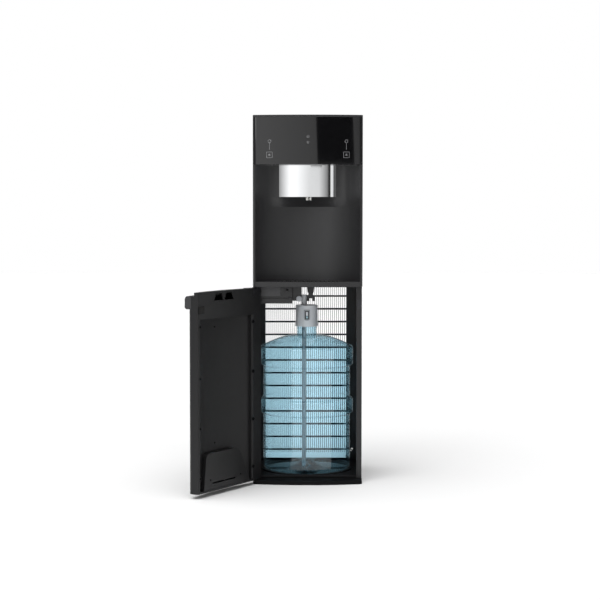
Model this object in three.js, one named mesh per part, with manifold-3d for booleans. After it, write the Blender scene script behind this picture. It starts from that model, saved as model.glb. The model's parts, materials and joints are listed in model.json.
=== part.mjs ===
// A floor-standing water dispenser. Its bottle stands in a bay behind the lower door, and a pump lifts
// the water to the tanks behind the dispensing alcove.
// Millimetres: X to the right, Y from front to back, Z up from the floor.
import * as THREE from 'three';
import { mergeVertices } from 'three/addons/utils/BufferGeometryUtils.js';
import Module from 'manifold-3d';

const wasm = await Module();
wasm.setup();

// ---- Driving dimensions ----

// Cabinet
const WIDTH = 310;
const HEIGHT = 1045;
const FRONT_Y = -182; // the foremost line of the bowed front
const CABINET_FRONT_Y = -128; // front face of the steel posts beside the bay
const BACK_Y = 166; // rear face of the back sheets
const BOW_RADIUS = 700;
const CORNER_RADIUS = 13;
const MOULDING = 2.5; // wall of every plastic moulding
const SHEET = 1.2; // steel sheet
const GAP = 0.3; // between pieces that rest on each other
const RUNNING_GAP = 0.6; // round pieces that slide or turn

// Heights of the stack, from the floor up
const BASE_HEIGHT = 11;
const BAY_FLOOR_Z = 18;
const BAY_FLOOR_THICK = 4;
const DECK_THICK = 3.2;
const ALCOVE_Z = 562;
const ALCOVE_FLOOR_THICK = 14;
const HEAD_HEIGHT = 133;
const LID_HEIGHT = 6;

// Door
const DOOR_BACK_Y = -134;
const DOOR_BOTTOM_Z = 13;
const DOOR_TOP_GAP = 4; // below the alcove moulding
const HINGE_INSET = 8; // from the side of the cabinet to the pin
const HINGE_DEPTH = 13; // from the back of the door to the pin
const PIN_RADIUS = 2.5;
const DOOR_OPEN_ANGLE = 122.5; // degrees, as the model rests
const PANEL_THICK = 3;
const HANDLE_REACH = 12;
const HANDLE_HEIGHT = 35;
const RECESS_HEIGHT = 10;
const RECESS_DEPTH = 18;
const FIELD_FROM_HINGE = 43;
const FIELD_FROM_FREE_EDGE = 9;
const FIELD_EDGE_DEPTH = 8;
const FIELD_DEPTH = 20;
const FIELD_BELOW_TOP = 73;
const RECESS_FROM_SIDE = 35;

// Alcove, spout and drip tray
const SCOOP_RADIUS = 177;
const SCOOP_BACK_Y = -85;
const SPOUT_WIDTH = 160;
const SPOUT_FRONT_Y = -137;
const SPOUT_SAG = 19;
const SPOUT_HEIGHT = 90.7;
const FAIRING_SIDE = 34;
const FAIRING_BELOW = 28;
const HOOD_THICK = 1.2;
const NOZZLE_Y = -126;
const TRAY_MARGIN = 9;
const TRAY_WALL = 1.6;
const GRILLE_PITCH = 12;
const GRILLE_SLOT = 5;
const GRILLE_REACH = 84; // out to the middle of the last slot
const GRILLE_RIM = 8;

// Back window and condenser
const WINDOW_FROM_SIDE = 33;
const WINDOW_BOTTOM_Z = 24;
const WINDOW_TOP_MARGIN = 10;
const TUBE_RADIUS = 2.7;
const TUBE_PITCH = 39;
const TUBE_BELOW_WINDOW_TOP = 30;
const FIRST_TUBE_Z = 48.7;
const BEND_RADIUS = TUBE_PITCH / 2;
const WIRE = 1.5;
const WIRE_PITCH = 6.06;
const WIRE_MARGIN = 3.8; // from the last wire to the edge of the window
const RAIL_WIDTH = 8;
const RAIL_DEPTH = 5.9;

// Bottle and probe
const BOTTLE_Y = 8;
const BOTTLE_RADIUS = 127.5;
const HOOP_RADIUS = 136;
const HOOP_HEIGHTS = [[187, 231], [328, 382]];
const SHOULDER_RISE = 31;
const NECK_RADIUS = 29;
const NECK_HEIGHT = 49;
const BOTTLE_WALL = 1.5;
const CAP_WALL = 3;
const CAP_BELOW_NECK_TOP = 24;
const CAP_ABOVE_NECK_TOP = 38;
const PROBE_X = -8;
const PROBE_RADIUS = 6;
const PROBE_ABOVE_NECK_TOP = 65;
const BUTTON_WIDTH = 18;
const BUTTON_BELOW_NECK_TOP = 6;
const BUTTON_HEIGHT = 32;
const BUTTON_TRAVEL = 2;

// Levels that follow from those above
const DECK_TOP_Z = ALCOVE_Z - GAP;
const DECK_Z = DECK_TOP_Z - DECK_THICK;
const DOOR_TOP_Z = ALCOVE_Z - DOOR_TOP_GAP;
const LEDGE_TOP_Z = DOOR_TOP_Z - RECESS_HEIGHT;
const LID_Z = HEIGHT - LID_HEIGHT;
const HEAD_Z = LID_Z - HEAD_HEIGHT;
const ALCOVE_FLOOR_Z = ALCOVE_Z + ALCOVE_FLOOR_THICK;
const WINDOW_TOP_Z = ALCOVE_Z - WINDOW_TOP_MARGIN;
const NECK_TOP_Z = HOOP_HEIGHTS.at(-1)[1] + SHOULDER_RISE + NECK_HEIGHT;
const CAP_BOTTOM_Z = NECK_TOP_Z - CAP_BELOW_NECK_TOP;
const CAP_TOP_Z = NECK_TOP_Z + CAP_ABOVE_NECK_TOP;
const PROBE_TOP_Z = NECK_TOP_Z + PROBE_ABOVE_NECK_TOP;
const BUTTON_BOTTOM_Z = NECK_TOP_Z - BUTTON_BELOW_NECK_TOP;
const FIELD_TOP_Z = DOOR_TOP_Z - FIELD_BELOW_TOP;

// Places across the width and the depth that follow from those above
const HALF = WIDTH / 2;
const HINGE_X = -HALF + HINGE_INSET;
const HINGE_Y = DOOR_BACK_Y - HINGE_DEPTH;
const FIELD_LEFT = HINGE_X + FIELD_FROM_HINGE;
const FIELD_RIGHT = HALF - FIELD_FROM_FREE_EDGE;
const WINDOW_HALF = HALF - WINDOW_FROM_SIDE;
const CAP_RADIUS = NECK_RADIUS + CAP_WALL;
const BOW_CENTRE_Y = FRONT_Y + BOW_RADIUS;
const SCOOP_CENTRE_Y = SCOOP_BACK_Y - SCOOP_RADIUS;
const FACE_BACK_Y = CABINET_FRONT_Y - 3; // the front mouldings end just ahead of the posts
const BACK_SHEET_Y = BACK_Y - SHEET;
const SHEET_TOP_Z = LID_Z - GAP;
const TUBE_RUNS = Math.floor((WINDOW_TOP_Z - TUBE_BELOW_WINDOW_TOP - FIRST_TUBE_Z) / TUBE_PITCH) + 1;
const LAST_TUBE_Z = FIRST_TUBE_Z + TUBE_PITCH * (TUBE_RUNS - 1);
const WIRE_COUNT = Math.round((2 * (WINDOW_HALF - WIRE_MARGIN)) / WIRE_PITCH) + 1;
const TUBE_Y = BACK_Y + GAP + RAIL_DEPTH + GAP + TUBE_RADIUS;
const DEG = Math.PI / 180;

// ---- Solids from three.js geometry ----

function solid(geometry) {
  geometry.deleteAttribute('normal');
  geometry.deleteAttribute('uv');
  const merged = mergeVertices(geometry, 1e-4);
  const corners = merged.index.array;
  const kept = [];
  for (let i = 0; i < corners.length; i += 3) {
    const [a, b, c] = corners.slice(i, i + 3);
    if (a !== b && b !== c && c !== a) kept.push(a, b, c);
  }
  const vertProperties = new Float32Array(merged.attributes.position.array);
  return new wasm.Manifold(new wasm.Mesh({ numProp: 3, vertProperties, triVerts: new Uint32Array(kept) }));
}

function join(first, ...others) {
  return others.reduce((sum, other) => sum.add(other), first);
}

function cut(first, ...tools) {
  return tools.reduce((rest, tool) => rest.subtract(tool), first);
}

function block(x0, x1, y0, y1, z0, z1) {
  const geometry = new THREE.BoxGeometry(x1 - x0, y1 - y0, z1 - z0);
  return solid(geometry.translate((x0 + x1) / 2, (y0 + y1) / 2, (z0 + z1) / 2));
}

// An outline of [x, y] points raised from z0 to z1.
function prism(points, z0, z1) {
  const shape = new THREE.Shape(points.map(([x, y]) => new THREE.Vector2(x, y)));
  const geometry = new THREE.ExtrudeGeometry(shape, { depth: z1 - z0, bevelEnabled: false });
  return solid(geometry.translate(0, 0, z0));
}

// An outline of [x, z] points, as seen from the front, from y0 back to y1.
function frontPrism(points, y0, y1) {
  const shape = new THREE.Shape(points.map(([x, z]) => new THREE.Vector2(x, z)));
  const geometry = new THREE.ExtrudeGeometry(shape, { depth: y1 - y0, bevelEnabled: false });
  return solid(geometry.rotateX(Math.PI / 2).translate(0, y1, 0));
}

function rodZ(x, y, z0, z1, radius, sides = 16) {
  const geometry = new THREE.CylinderGeometry(radius, radius, z1 - z0, sides);
  return solid(geometry.rotateX(Math.PI / 2).translate(x, y, (z0 + z1) / 2));
}

function rodY(x, z, y0, y1, radius, sides = 16) {
  const geometry = new THREE.CylinderGeometry(radius, radius, y1 - y0, sides);
  return solid(geometry.translate(x, (y0 + y1) / 2, z));
}

function rodX(y, z, x0, x1, radius, sides = 16) {
  const geometry = new THREE.CylinderGeometry(radius, radius, x1 - x0, sides);
  return solid(geometry.rotateZ(Math.PI / 2).translate((x0 + x1) / 2, y, z));
}

// A turned piece: [radius, height] points, from the bottom outwards and up, about a vertical axis at x, y.
function turned(profile, x, y, segments = 18) {
  const points = profile.map(([radius, z]) => new THREE.Vector2(radius, z));
  const geometry = new THREE.LatheGeometry(points, segments);
  return solid(geometry.rotateX(Math.PI / 2).translate(x, y, 0));
}

function arc(cx, cy, radius, from, to, steps) {
  const points = [];
  for (let i = 0; i <= steps; i += 1) {
    const angle = (from + ((to - from) * i) / steps) * DEG;
    points.push([cx + radius * Math.cos(angle), cy + radius * Math.sin(angle)]);
  }
  return points;
}

// A polygon with each corner rounded to its own radius, in three steps.
function rounded(corners, radii) {
  const points = [];
  corners.forEach((corner, i) => {
    const here = new THREE.Vector2(...corner);
    const toPrevious = new THREE.Vector2(...corners.at(i - 1)).sub(here).normalize();
    const toNext = new THREE.Vector2(...corners[(i + 1) % corners.length]).sub(here).normalize();
    const start = here.clone().addScaledVector(toPrevious, radii[i]);
    const end = here.clone().addScaledVector(toNext, radii[i]);
    if (radii[i] === 0) points.push(corner);
    else points.push(...new THREE.QuadraticBezierCurve(start, here, end).getPoints(3).map((p) => [p.x, p.y]));
  });
  return points;
}

// A path with one step from each of its points to the next.
class PointPath extends THREE.Curve {
  constructor(points) {
    super();
    this.points = points;
  }

  getPoint(t) {
    const last = this.points.length - 1;
    const step = Math.min(Math.floor(t * last), last - 1);
    return this.points[step].clone().lerp(this.points[step + 1], t * last - step);
  }

  getUtoTmapping(u) {
    return u;
  }
}

// A bent tube: straight runs between corner points, with a bend of the same radius at each corner.
function pipe(corners, radius, bend, sides = 8, bendSteps = 3) {
  const ends = corners.map((corner) => new THREE.Vector3(...corner));
  const points = [ends[0]];
  for (let i = 1; i < ends.length - 1; i += 1) {
    const back = ends[i - 1].clone().sub(ends[i]).normalize();
    const ahead = ends[i + 1].clone().sub(ends[i]).normalize();
    const half = back.angleTo(ahead) / 2;
    const centre = back.clone().add(ahead).setLength(bend / Math.sin(half)).add(ends[i]);
    const start = back.multiplyScalar(bend / Math.tan(half)).add(ends[i]).sub(centre);
    const end = ahead.multiplyScalar(bend / Math.tan(half)).add(ends[i]).sub(centre);
    const turn = Math.PI - 2 * half;
    for (let k = 0; k <= bendSteps; k += 1) {
      const share = k / bendSteps;
      const spoke = start.clone().multiplyScalar(Math.sin((1 - share) * turn));
      spoke.addScaledVector(end, Math.sin(share * turn)).divideScalar(Math.sin(turn));
      points.push(spoke.add(centre));
    }
  }
  points.push(ends.at(-1));
  const circle = arc(0, 0, radius, 0, 360 - 360 / sides, sides - 1);
  const section = new THREE.Shape(circle.map((p) => new THREE.Vector2(...p)));
  const path = new PointPath(points);
  const options = { extrudePath: path, steps: points.length - 1, bevelEnabled: false };
  return solid(new THREE.ExtrudeGeometry(section, options));
}

// ---- Outlines that several pieces share ----

// The bowed front with its rounded corners, from left to right, moved inwards by inset.
function frontLine(inset) {
  const cornerX = HALF - CORNER_RADIUS;
  const reach = BOW_RADIUS - CORNER_RADIUS;
  const cornerY = BOW_CENTRE_Y - Math.sqrt(reach ** 2 - cornerX ** 2);
  const swing = Math.asin(cornerX / reach) / DEG;
  const radius = CORNER_RADIUS - inset;
  return [
    ...arc(-cornerX, cornerY, radius, 180, 270 - swing, 5),
    ...arc(0, BOW_CENTRE_Y, BOW_RADIUS - inset, 270 - swing, 270 + swing, 14).slice(1, -1),
    ...arc(cornerX, cornerY, radius, 270 + swing, 360, 5),
  ];
}

function bodyOutline(inset, backY) {
  return [...frontLine(inset), [HALF - inset, backY], [-HALF + inset, backY]];
}

// The hollow of the alcove, a vertical cylinder, moved back into the cabinet by inset.
function scoop(inset, z0, z1) {
  return prism(arc(0, SCOOP_CENTRE_Y, SCOOP_RADIUS + inset, 0, 354, 59), z0, z1);
}

function scoopY(x) {
  return SCOOP_CENTRE_Y + Math.sqrt(SCOOP_RADIUS ** 2 - x ** 2);
}

// The hollow field of the door's inner panel, in plan, moved inwards by inset.
function fieldOutline(inset) {
  const middle = (FIELD_LEFT + FIELD_RIGHT) / 2;
  const halfChord = (FIELD_RIGHT - FIELD_LEFT) / 2;
  const sag = FIELD_DEPTH - FIELD_EDGE_DEPTH;
  const radius = (halfChord ** 2 + sag ** 2) / (2 * sag);
  const swing = Math.asin((halfChord - inset) / (radius - inset)) / DEG;
  const line = arc(middle, DOOR_BACK_Y - FIELD_DEPTH + radius, radius - inset, 270 - swing, 270 + swing, 12);
  const openY = DOOR_BACK_Y + MOULDING;
  return [...line, [FIELD_RIGHT - inset, openY], [FIELD_LEFT + inset, openY]];
}

// The bulging part of the spout's front, from left to right, moved forwards by offset.
function spoutLine(offset) {
  const halfWidth = SPOUT_WIDTH / 2;
  const radius = (halfWidth ** 2 + SPOUT_SAG ** 2) / (2 * SPOUT_SAG);
  const swing = Math.asin(halfWidth / radius) / DEG;
  return arc(0, SPOUT_FRONT_Y + radius, radius + offset, 270 - swing, 270 + swing, 12);
}

// ---- Assembly ----

const dispenser = new THREE.Group();

function add(name, shape, [color, roughness, metalness], parent = dispenser) {
  const mesh = shape.getMesh();
  const geometry = new THREE.BufferGeometry();
  geometry.setAttribute('position', new THREE.BufferAttribute(mesh.vertProperties, 3));
  geometry.setIndex(new THREE.BufferAttribute(mesh.triVerts, 1));
  const material = new THREE.MeshStandardMaterial({ color, roughness, metalness, flatShading: true });
  const node = new THREE.Mesh(geometry, material);
  node.name = name;
  parent.add(node);
}

const MATTE_BLACK = [0x1d1d1e, 0.6, 0];
const GLOSS_BLACK = [0x0b0b0c, 0.1, 0];
const DARK_STEEL = [0x1a1a1b, 0.5, 0.2];
const POLISHED_STEEL = [0xdfe2e4, 0.08, 1];
const PLATED_STEEL = [0xa8abae, 0.4, 1];
const BLACK_ENAMEL = [0x111112, 0.35, 0.3];
const RUBBER = [0x151515, 0.9, 0];
const CLEAR_BLUE = [0x7fb8d2, 0.1, 0];
const GREY_PLASTIC = [0x8d9296, 0.5, 0];
const WHITE_PLASTIC = [0xe9e9e6, 0.4, 0];
const FOAM = [0xd9d3c3, 0.95, 0];

// Base pan: a moulded tray with a deck under the door, ribs under the bay floor and recesses for the feet.
const PAD_RADIUS = 15;
const PAD_RECESS = 1.8;
const FLOOR_Z = BAY_FLOOR_Z - BAY_FLOOR_THICK;
const PAN_BACK_Y = BACK_SHEET_Y - GAP;
const PAN_FLOOR = 3;
const STEP_Y = CABINET_FRONT_Y + SHEET + GAP;
const PAD_YS = [FRONT_Y + 42, BACK_Y - 34];
const PAD_X = HALF - 35;
const PADS = [-PAD_X, PAD_X].flatMap((x) => PAD_YS.map((y) => [x, y]));

function basePan() {
  const outer = prism(bodyOutline(0, PAN_BACK_Y), 0, BASE_HEIGHT);
  const hollow = prism(bodyOutline(MOULDING, PAN_BACK_Y - MOULDING), PAN_FLOOR, BASE_HEIGHT + 1);
  const deck = prism(bodyOutline(0, STEP_Y + MOULDING), BASE_HEIGHT - 2, BASE_HEIGHT);
  const inside = HALF - SHEET - GAP;
  const ribs = [block(-inside, inside, STEP_Y, STEP_Y + MOULDING, PAN_FLOOR - 1, FLOOR_Z - GAP)];
  for (const x of [-HALF / 2, 0, HALF / 2]) {
    ribs.push(block(x - 1.5, x + 1.5, STEP_Y + 1, PAN_BACK_Y - 1, PAN_FLOOR - 1, FLOOR_Z - GAP));
  }
  const recesses = PADS.map(([x, y]) => rodZ(x, y, -1, PAD_RECESS, PAD_RADIUS + GAP));
  const drains = [-60, 60].map((x) => {
    return block(x - 6, x + 6, STEP_Y - 1, STEP_Y + MOULDING + 1, PAN_FLOOR, BASE_HEIGHT - 3);
  });
  return cut(join(cut(outer, hollow), deck, ...ribs), ...recesses, ...drains);
}

add('base_pan', basePan(), MATTE_BLACK);
['front_left', 'back_left', 'front_right', 'back_right'].forEach((corner, i) => {
  add(`foot_pad_${corner}`, rodZ(...PADS[i], 0, PAD_RECESS - GAP, PAD_RADIUS), RUBBER);
});

// Bay floor: a plate that the bottle stands on, with a raised ring that centres it.
function bayFloor() {
  const inside = HALF - SHEET - GAP;
  const plate = block(-inside, inside, STEP_Y, PAN_BACK_Y - SHEET, FLOOR_Z, BAY_FLOOR_Z);
  const ring = cut(
    rodZ(0, BOTTLE_Y, FLOOR_Z + 1, BAY_FLOOR_Z + 3, BOTTLE_RADIUS + 5, 28),
    rodZ(0, BOTTLE_Y, FLOOR_Z, BAY_FLOOR_Z + 4, BOTTLE_RADIUS + 2, 28),
  );
  return join(plate, ring);
}

add('bay_floor', bayFloor(), MATTE_BLACK);

// Side panels: folded steel, with a post that frames the bay, its return lip and a rear flange.
const POST_WIDTH = 15;
const POST_LIP = 10;
const REAR_FLANGE = 12;

function sidePanel(side) {
  const outer = side * HALF;
  const inner = outer - side * SHEET;
  const rearY = PAN_BACK_Y;
  const postX = outer - side * POST_WIDTH;
  const lipX = postX + side * SHEET;
  const profile = [
    [postX, CABINET_FRONT_Y], [outer, CABINET_FRONT_Y], [outer, rearY], [outer - side * REAR_FLANGE, rearY],
    [outer - side * REAR_FLANGE, rearY - SHEET], [inner, rearY - SHEET], [inner, CABINET_FRONT_Y + SHEET],
    [lipX, CABINET_FRONT_Y + SHEET], [lipX, CABINET_FRONT_Y + POST_LIP], [postX, CABINET_FRONT_Y + POST_LIP],
  ];
  const bottomZ = BASE_HEIGHT + GAP;
  const pan = block(-HALF + SHEET, HALF - SHEET, STEP_Y - GAP, PAN_BACK_Y, bottomZ - 1, BAY_FLOOR_Z + GAP);
  return cut(prism(profile, bottomZ, SHEET_TOP_Z), pan);
}

add('left_side_panel', sidePanel(-1), DARK_STEEL);
add('right_side_panel', sidePanel(1), DARK_STEEL);

// Back frame: the sheet round the bay's window, with the two rails that hold the condenser off it.
const BOTTOM_STUB_X = WINDOW_HALF + 18;
const STUB_HOLE = TUBE_RADIUS + 2;
const RAIL_X = WINDOW_HALF + 9;

function backFrame() {
  const sheetHalf = HALF - GAP;
  const sheet = block(-sheetHalf, sheetHalf, BACK_SHEET_Y, BACK_Y, BASE_HEIGHT + GAP, ALCOVE_Z);
  const through = [BACK_SHEET_Y - 1, BACK_Y + 1];
  const windowCut = block(-WINDOW_HALF, WINDOW_HALF, ...through, WINDOW_BOTTOM_Z, WINDOW_TOP_Z);
  const rails = [-1, 1].map((side) => {
    const x = side * RAIL_X;
    const railZ = [FIRST_TUBE_Z + 8, LAST_TUBE_Z + 12];
    return block(x - RAIL_WIDTH / 2, x + RAIL_WIDTH / 2, BACK_SHEET_Y + 0.2, BACK_Y + RAIL_DEPTH, ...railZ);
  });
  const stubHole = rodY(BOTTOM_STUB_X, FIRST_TUBE_Z, BACK_SHEET_Y - 1, BACK_Y + 1, STUB_HOLE);
  return cut(join(sheet, ...rails), windowCut, stubHole);
}

add('back_frame', backFrame(), DARK_STEEL);

// Condenser: one black tube folded to and fro behind the window, with its ends led into the cabinet.
const TOP_STUB_X = -BOTTOM_STUB_X;
const TOP_STUB_Z = ALCOVE_Z + 38;
const STUB_END_Y = BACK_SHEET_Y - 12;
const TUBE_BEND = 10;
const TUBE_SIDES = 6;

function condenserTubes() {
  const turnX = WINDOW_HALF + 4 + BEND_RADIUS;
  const topZ = LAST_TUBE_Z;
  const corners = [[BOTTOM_STUB_X - TUBE_BEND, TUBE_Y, FIRST_TUBE_Z]];
  for (let run = 0; run < TUBE_RUNS - 1; run += 1) {
    const side = run % 2 === 0 ? -1 : 1;
    corners.push([side * turnX, TUBE_Y, FIRST_TUBE_Z + TUBE_PITCH * run]);
    corners.push([side * turnX, TUBE_Y, FIRST_TUBE_Z + TUBE_PITCH * (run + 1)]);
  }
  corners.push([TOP_STUB_X + TUBE_BEND + 1, TUBE_Y, topZ]);
  const runs = pipe(corners, TUBE_RADIUS, BEND_RADIUS, TUBE_SIDES);
  const bottomStub = pipe([
    [BOTTOM_STUB_X - TUBE_BEND - 1, TUBE_Y, FIRST_TUBE_Z],
    [BOTTOM_STUB_X, TUBE_Y, FIRST_TUBE_Z],
    [BOTTOM_STUB_X, STUB_END_Y, FIRST_TUBE_Z],
  ], TUBE_RADIUS, 8, TUBE_SIDES);
  const topStub = pipe([
    [TOP_STUB_X + TUBE_BEND + 2, TUBE_Y, topZ],
    [TOP_STUB_X, TUBE_Y, topZ],
    [TOP_STUB_X, TUBE_Y, TOP_STUB_Z],
    [TOP_STUB_X, STUB_END_Y, TOP_STUB_Z],
  ], TUBE_RADIUS, 8, TUBE_SIDES);
  return join(runs, bottomStub, topStub);
}

// The wires stand just behind the tubes, hung from one rod along the top.
function condenserWires() {
  const frontY = TUBE_Y + TUBE_RADIUS + GAP;
  const bottomZ = FIRST_TUBE_Z - 10;
  const topZ = WINDOW_TOP_Z + 8;
  const firstX = (-WIRE_PITCH * (WIRE_COUNT - 1)) / 2;
  const comb = [];
  for (let i = 0; i < WIRE_COUNT; i += 1) {
    const left = firstX + WIRE_PITCH * i - WIRE / 2;
    const right = left + WIRE;
    comb.push([left, topZ - WIRE], [left, bottomZ], [right, bottomZ], [right, topZ - WIRE]);
  }
  const ends = [[-firstX + WIRE / 2, topZ], [firstX - WIRE / 2, topZ]];
  return frontPrism([...comb, ...ends], frontY, frontY + WIRE);
}

add('condenser_tubes', condenserTubes(), BLACK_ENAMEL);
add('condenser_wires', condenserWires(), BLACK_ENAMEL);

// Upper back cover, with louvres, a pass-through for the condenser tube and windows for the controls on it.
const ROCKER_Z = ALCOVE_Z + 128;
const ROCKER_XS = { cold_rocker: -HALF + 51, hot_rocker: -HALF + 75 };
const ROCKER_WIDTH = 13;
const ROCKER_HEIGHT = 21;
const ROCKER_TILT = 8;
const ROCKER_DEPTH = 9;
const ROCKER_PROUD = 4;
const ROCKER_DISH = 1.6;
const BEZEL_THICK = 2;
const DRAIN = { x: 96, z: ALCOVE_Z + 50, radius: 8, wall: 2.2 };
const GLAND = { x: -40, z: ALCOVE_Z + 44, radius: 7, bore: 3.7 };
const LOUVRE_ROWS = 9;
const LOUVRE_PITCH = 14;
const LOUVRE_HEIGHT = 5;
const LOUVRE_WIDTH = 104;
const LOUVRE_X = 70;
const LOUVRE_BELOW_TOP = 70;

function rockerWindows(margin, y0, y1) {
  const halfHeight = ROCKER_HEIGHT / 2 + margin;
  const halfWidth = ROCKER_WIDTH / 2 + margin;
  return Object.values(ROCKER_XS).map((x) => {
    return block(x - halfWidth, x + halfWidth, y0, y1, ROCKER_Z - halfHeight, ROCKER_Z + halfHeight);
  });
}

function upperBackCover() {
  const sheet = block(-HALF + GAP, HALF - GAP, BACK_SHEET_Y, BACK_Y, ALCOVE_Z + GAP, SHEET_TOP_Z);
  const slots = [];
  for (let row = 0; row < LOUVRE_ROWS; row += 1) {
    const z = SHEET_TOP_Z - LOUVRE_BELOW_TOP - row * LOUVRE_PITCH;
    for (const x of [-LOUVRE_X, LOUVRE_X]) {
      const ends = [x - LOUVRE_WIDTH / 2, x + LOUVRE_WIDTH / 2];
      slots.push(block(...ends, BACK_SHEET_Y - 1, BACK_Y + 1, z, z + LOUVRE_HEIGHT));
    }
  }
  const holes = [
    rodY(TOP_STUB_X, TOP_STUB_Z, BACK_SHEET_Y - 1, BACK_Y + 1, STUB_HOLE),
    rodY(DRAIN.x, DRAIN.z, BACK_SHEET_Y - 1, BACK_Y + 1, DRAIN.radius + GAP),
    rodY(GLAND.x, GLAND.z, BACK_SHEET_Y - 1, BACK_Y + 1, GLAND.radius + GAP),
  ];
  return cut(sheet, ...slots, ...holes, ...rockerWindows(2.2, BACK_SHEET_Y - 1, BACK_Y + 1));
}

function switchBezel() {
  const margin = 9;
  const xs = Object.values(ROCKER_XS);
  const left = Math.min(...xs) - ROCKER_WIDTH / 2 - margin;
  const right = Math.max(...xs) + ROCKER_WIDTH / 2 + margin;
  const half = ROCKER_HEIGHT / 2 + margin;
  const y0 = BACK_Y + GAP;
  const plate = block(left, right, y0, y0 + BEZEL_THICK, ROCKER_Z - half, ROCKER_Z + half);
  return cut(plate, ...rockerWindows(1.6, y0 - 1, y0 + BEZEL_THICK + 1));
}

// A rocker as it sits when switched on, tilted about the middle of its body.
function rocker(x) {
  const y = BACK_Y + GAP;
  const half = ROCKER_HEIGHT / 2;
  const profile = [
    [-ROCKER_DEPTH, -half], [ROCKER_PROUD, -half], [ROCKER_PROUD - ROCKER_DISH, 0], [ROCKER_PROUD, half],
    [-ROCKER_DEPTH, half],
  ];
  const shape = new THREE.Shape(profile.map((p) => new THREE.Vector2(...p)));
  const geometry = new THREE.ExtrudeGeometry(shape, { depth: ROCKER_WIDTH, bevelEnabled: false });
  geometry.rotateY(Math.PI / 2).rotateX(Math.PI / 2);
  geometry.rotateX(-ROCKER_TILT * DEG);
  return solid(geometry.translate(x - ROCKER_WIDTH / 2, y, ROCKER_Z));
}

function drainSpigot() {
  const flange = rodY(DRAIN.x, DRAIN.z, BACK_Y + GAP, BACK_Y + 3, DRAIN.radius + 5);
  const tube = rodY(DRAIN.x, DRAIN.z, BACK_SHEET_Y - 14, BACK_Y + 13, DRAIN.radius);
  const bore = rodY(DRAIN.x, DRAIN.z, BACK_SHEET_Y - 15, BACK_Y + 14, DRAIN.radius - DRAIN.wall);
  return cut(join(flange, tube), bore);
}

function drainCap() {
  const start = BACK_Y + 4;
  const end = BACK_Y + 17;
  const bore = rodY(DRAIN.x, DRAIN.z, start - 1, end - 3, DRAIN.radius + RUNNING_GAP);
  const grips = [];
  for (let i = 0; i < 8; i += 1) {
    const angle = i * 45 * DEG;
    const reach = DRAIN.radius + 3.6;
    const at = [DRAIN.x + reach * Math.cos(angle), DRAIN.z + reach * Math.sin(angle)];
    grips.push(rodY(...at, start, end, 1.6, 8));
  }
  return cut(join(rodY(DRAIN.x, DRAIN.z, start, end, DRAIN.radius + 3.4), ...grips), bore);
}

function cordGland() {
  const flange = rodY(GLAND.x, GLAND.z, BACK_Y + GAP, BACK_Y + 5, GLAND.radius + 4);
  const sleeve = rodY(GLAND.x, GLAND.z, BACK_SHEET_Y - 10, BACK_Y + 3, GLAND.radius);
  return cut(join(flange, sleeve), rodY(GLAND.x, GLAND.z, BACK_SHEET_Y - 11, BACK_Y + 6, GLAND.bore));
}

add('upper_back_cover', upperBackCover(), DARK_STEEL);
add('switch_bezel', switchBezel(), MATTE_BLACK);
for (const [name, x] of Object.entries(ROCKER_XS)) add(name, rocker(x), GLOSS_BLACK);
add('drain_spigot', drainSpigot(), WHITE_PLASTIC);
add('drain_cap', drainCap(), MATTE_BLACK);
add('cord_gland', cordGland(), RUBBER);

// Deck: the steel shelf between the bay and the works, with a hole for the feed pipe.
const FEED = { x: -HALF + 63, y: -60 };
const PIPE_RADIUS = 4;

function deck() {
  const inside = HALF - SHEET - GAP;
  const depth = [CABINET_FRONT_Y + SHEET + GAP, PAN_BACK_Y - SHEET - GAP];
  const plate = block(-inside, inside, ...depth, DECK_Z, DECK_TOP_Z);
  const lips = [-1, 1].map((side) => {
    const y = CABINET_FRONT_Y + POST_LIP + GAP;
    const xs = [side * (HALF - POST_WIDTH), side * (HALF + 0.1)].sort((a, b) => a - b);
    return block(...xs, y - 20, y, DECK_Z - 1, DECK_TOP_Z + 1);
  });
  return cut(plate, ...lips, rodZ(FEED.x, FEED.y, DECK_Z - 1, DECK_TOP_Z + 1, PIPE_RADIUS + 2));
}

add('deck', deck(), DARK_STEEL);

// Compressor: a pressed steel pot on a foot plate with four rubber-bushed legs.
const COMPRESSOR = { x: 70, y: 92, radius: 56, height: 150 };

function compressor() {
  const { x, y, radius, height } = COMPRESSOR;
  const plateZ = DECK_TOP_Z + 10;
  const potZ = plateZ + 4;
  const pot = turned([
    [0, potZ - 3], [radius - 16, potZ - 1], [radius - 4, potZ + 8], [radius, potZ + 26],
    [radius, potZ + height - 44], [radius - 6, potZ + height - 22], [radius - 22, potZ + height - 6],
    [0, potZ + height],
  ], x, y);
  const plate = block(x - 74, x + 74, y - 42, y + 42, plateZ, potZ);
  const legs = [-62, 62].flatMap((dx) => [-32, 32].map((dy) => {
    return rodZ(x + dx, y + dy, DECK_TOP_Z + GAP, plateZ + 1, 8, 12);
  }));
  return join(pot, plate, ...legs);
}

add('compressor', compressor(), BLACK_ENAMEL);

// Tanks: the chilled one sits in a foam jacket, the heated one is bare steel. Each has an open neck.
const COLD = { x: -66, y: 52, radius: 58, bottomZ: HEAD_Z - 164, height: 150 };
const HOT = { x: 82, y: 14, radius: 46, bottomZ: HEAD_Z - 136, height: 140 };
const TANK_WALL = 1.5;
const JACKET_THICK = 17;

function tank({ x, y, radius, bottomZ, height }) {
  const neck = 9;
  const topZ = bottomZ + height;
  return turned([
    [0, bottomZ], [radius - 10, bottomZ], [radius, bottomZ + 10], [radius, topZ - 10], [radius - 10, topZ],
    [neck, topZ + 2], [neck, topZ + 12], [neck - TANK_WALL, topZ + 12], [neck - TANK_WALL, topZ],
    [radius - 10, topZ - TANK_WALL], [radius - TANK_WALL, topZ - 10], [radius - TANK_WALL, bottomZ + 10],
    [radius - 10, bottomZ + TANK_WALL], [0, bottomZ + TANK_WALL],
  ], x, y);
}

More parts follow.
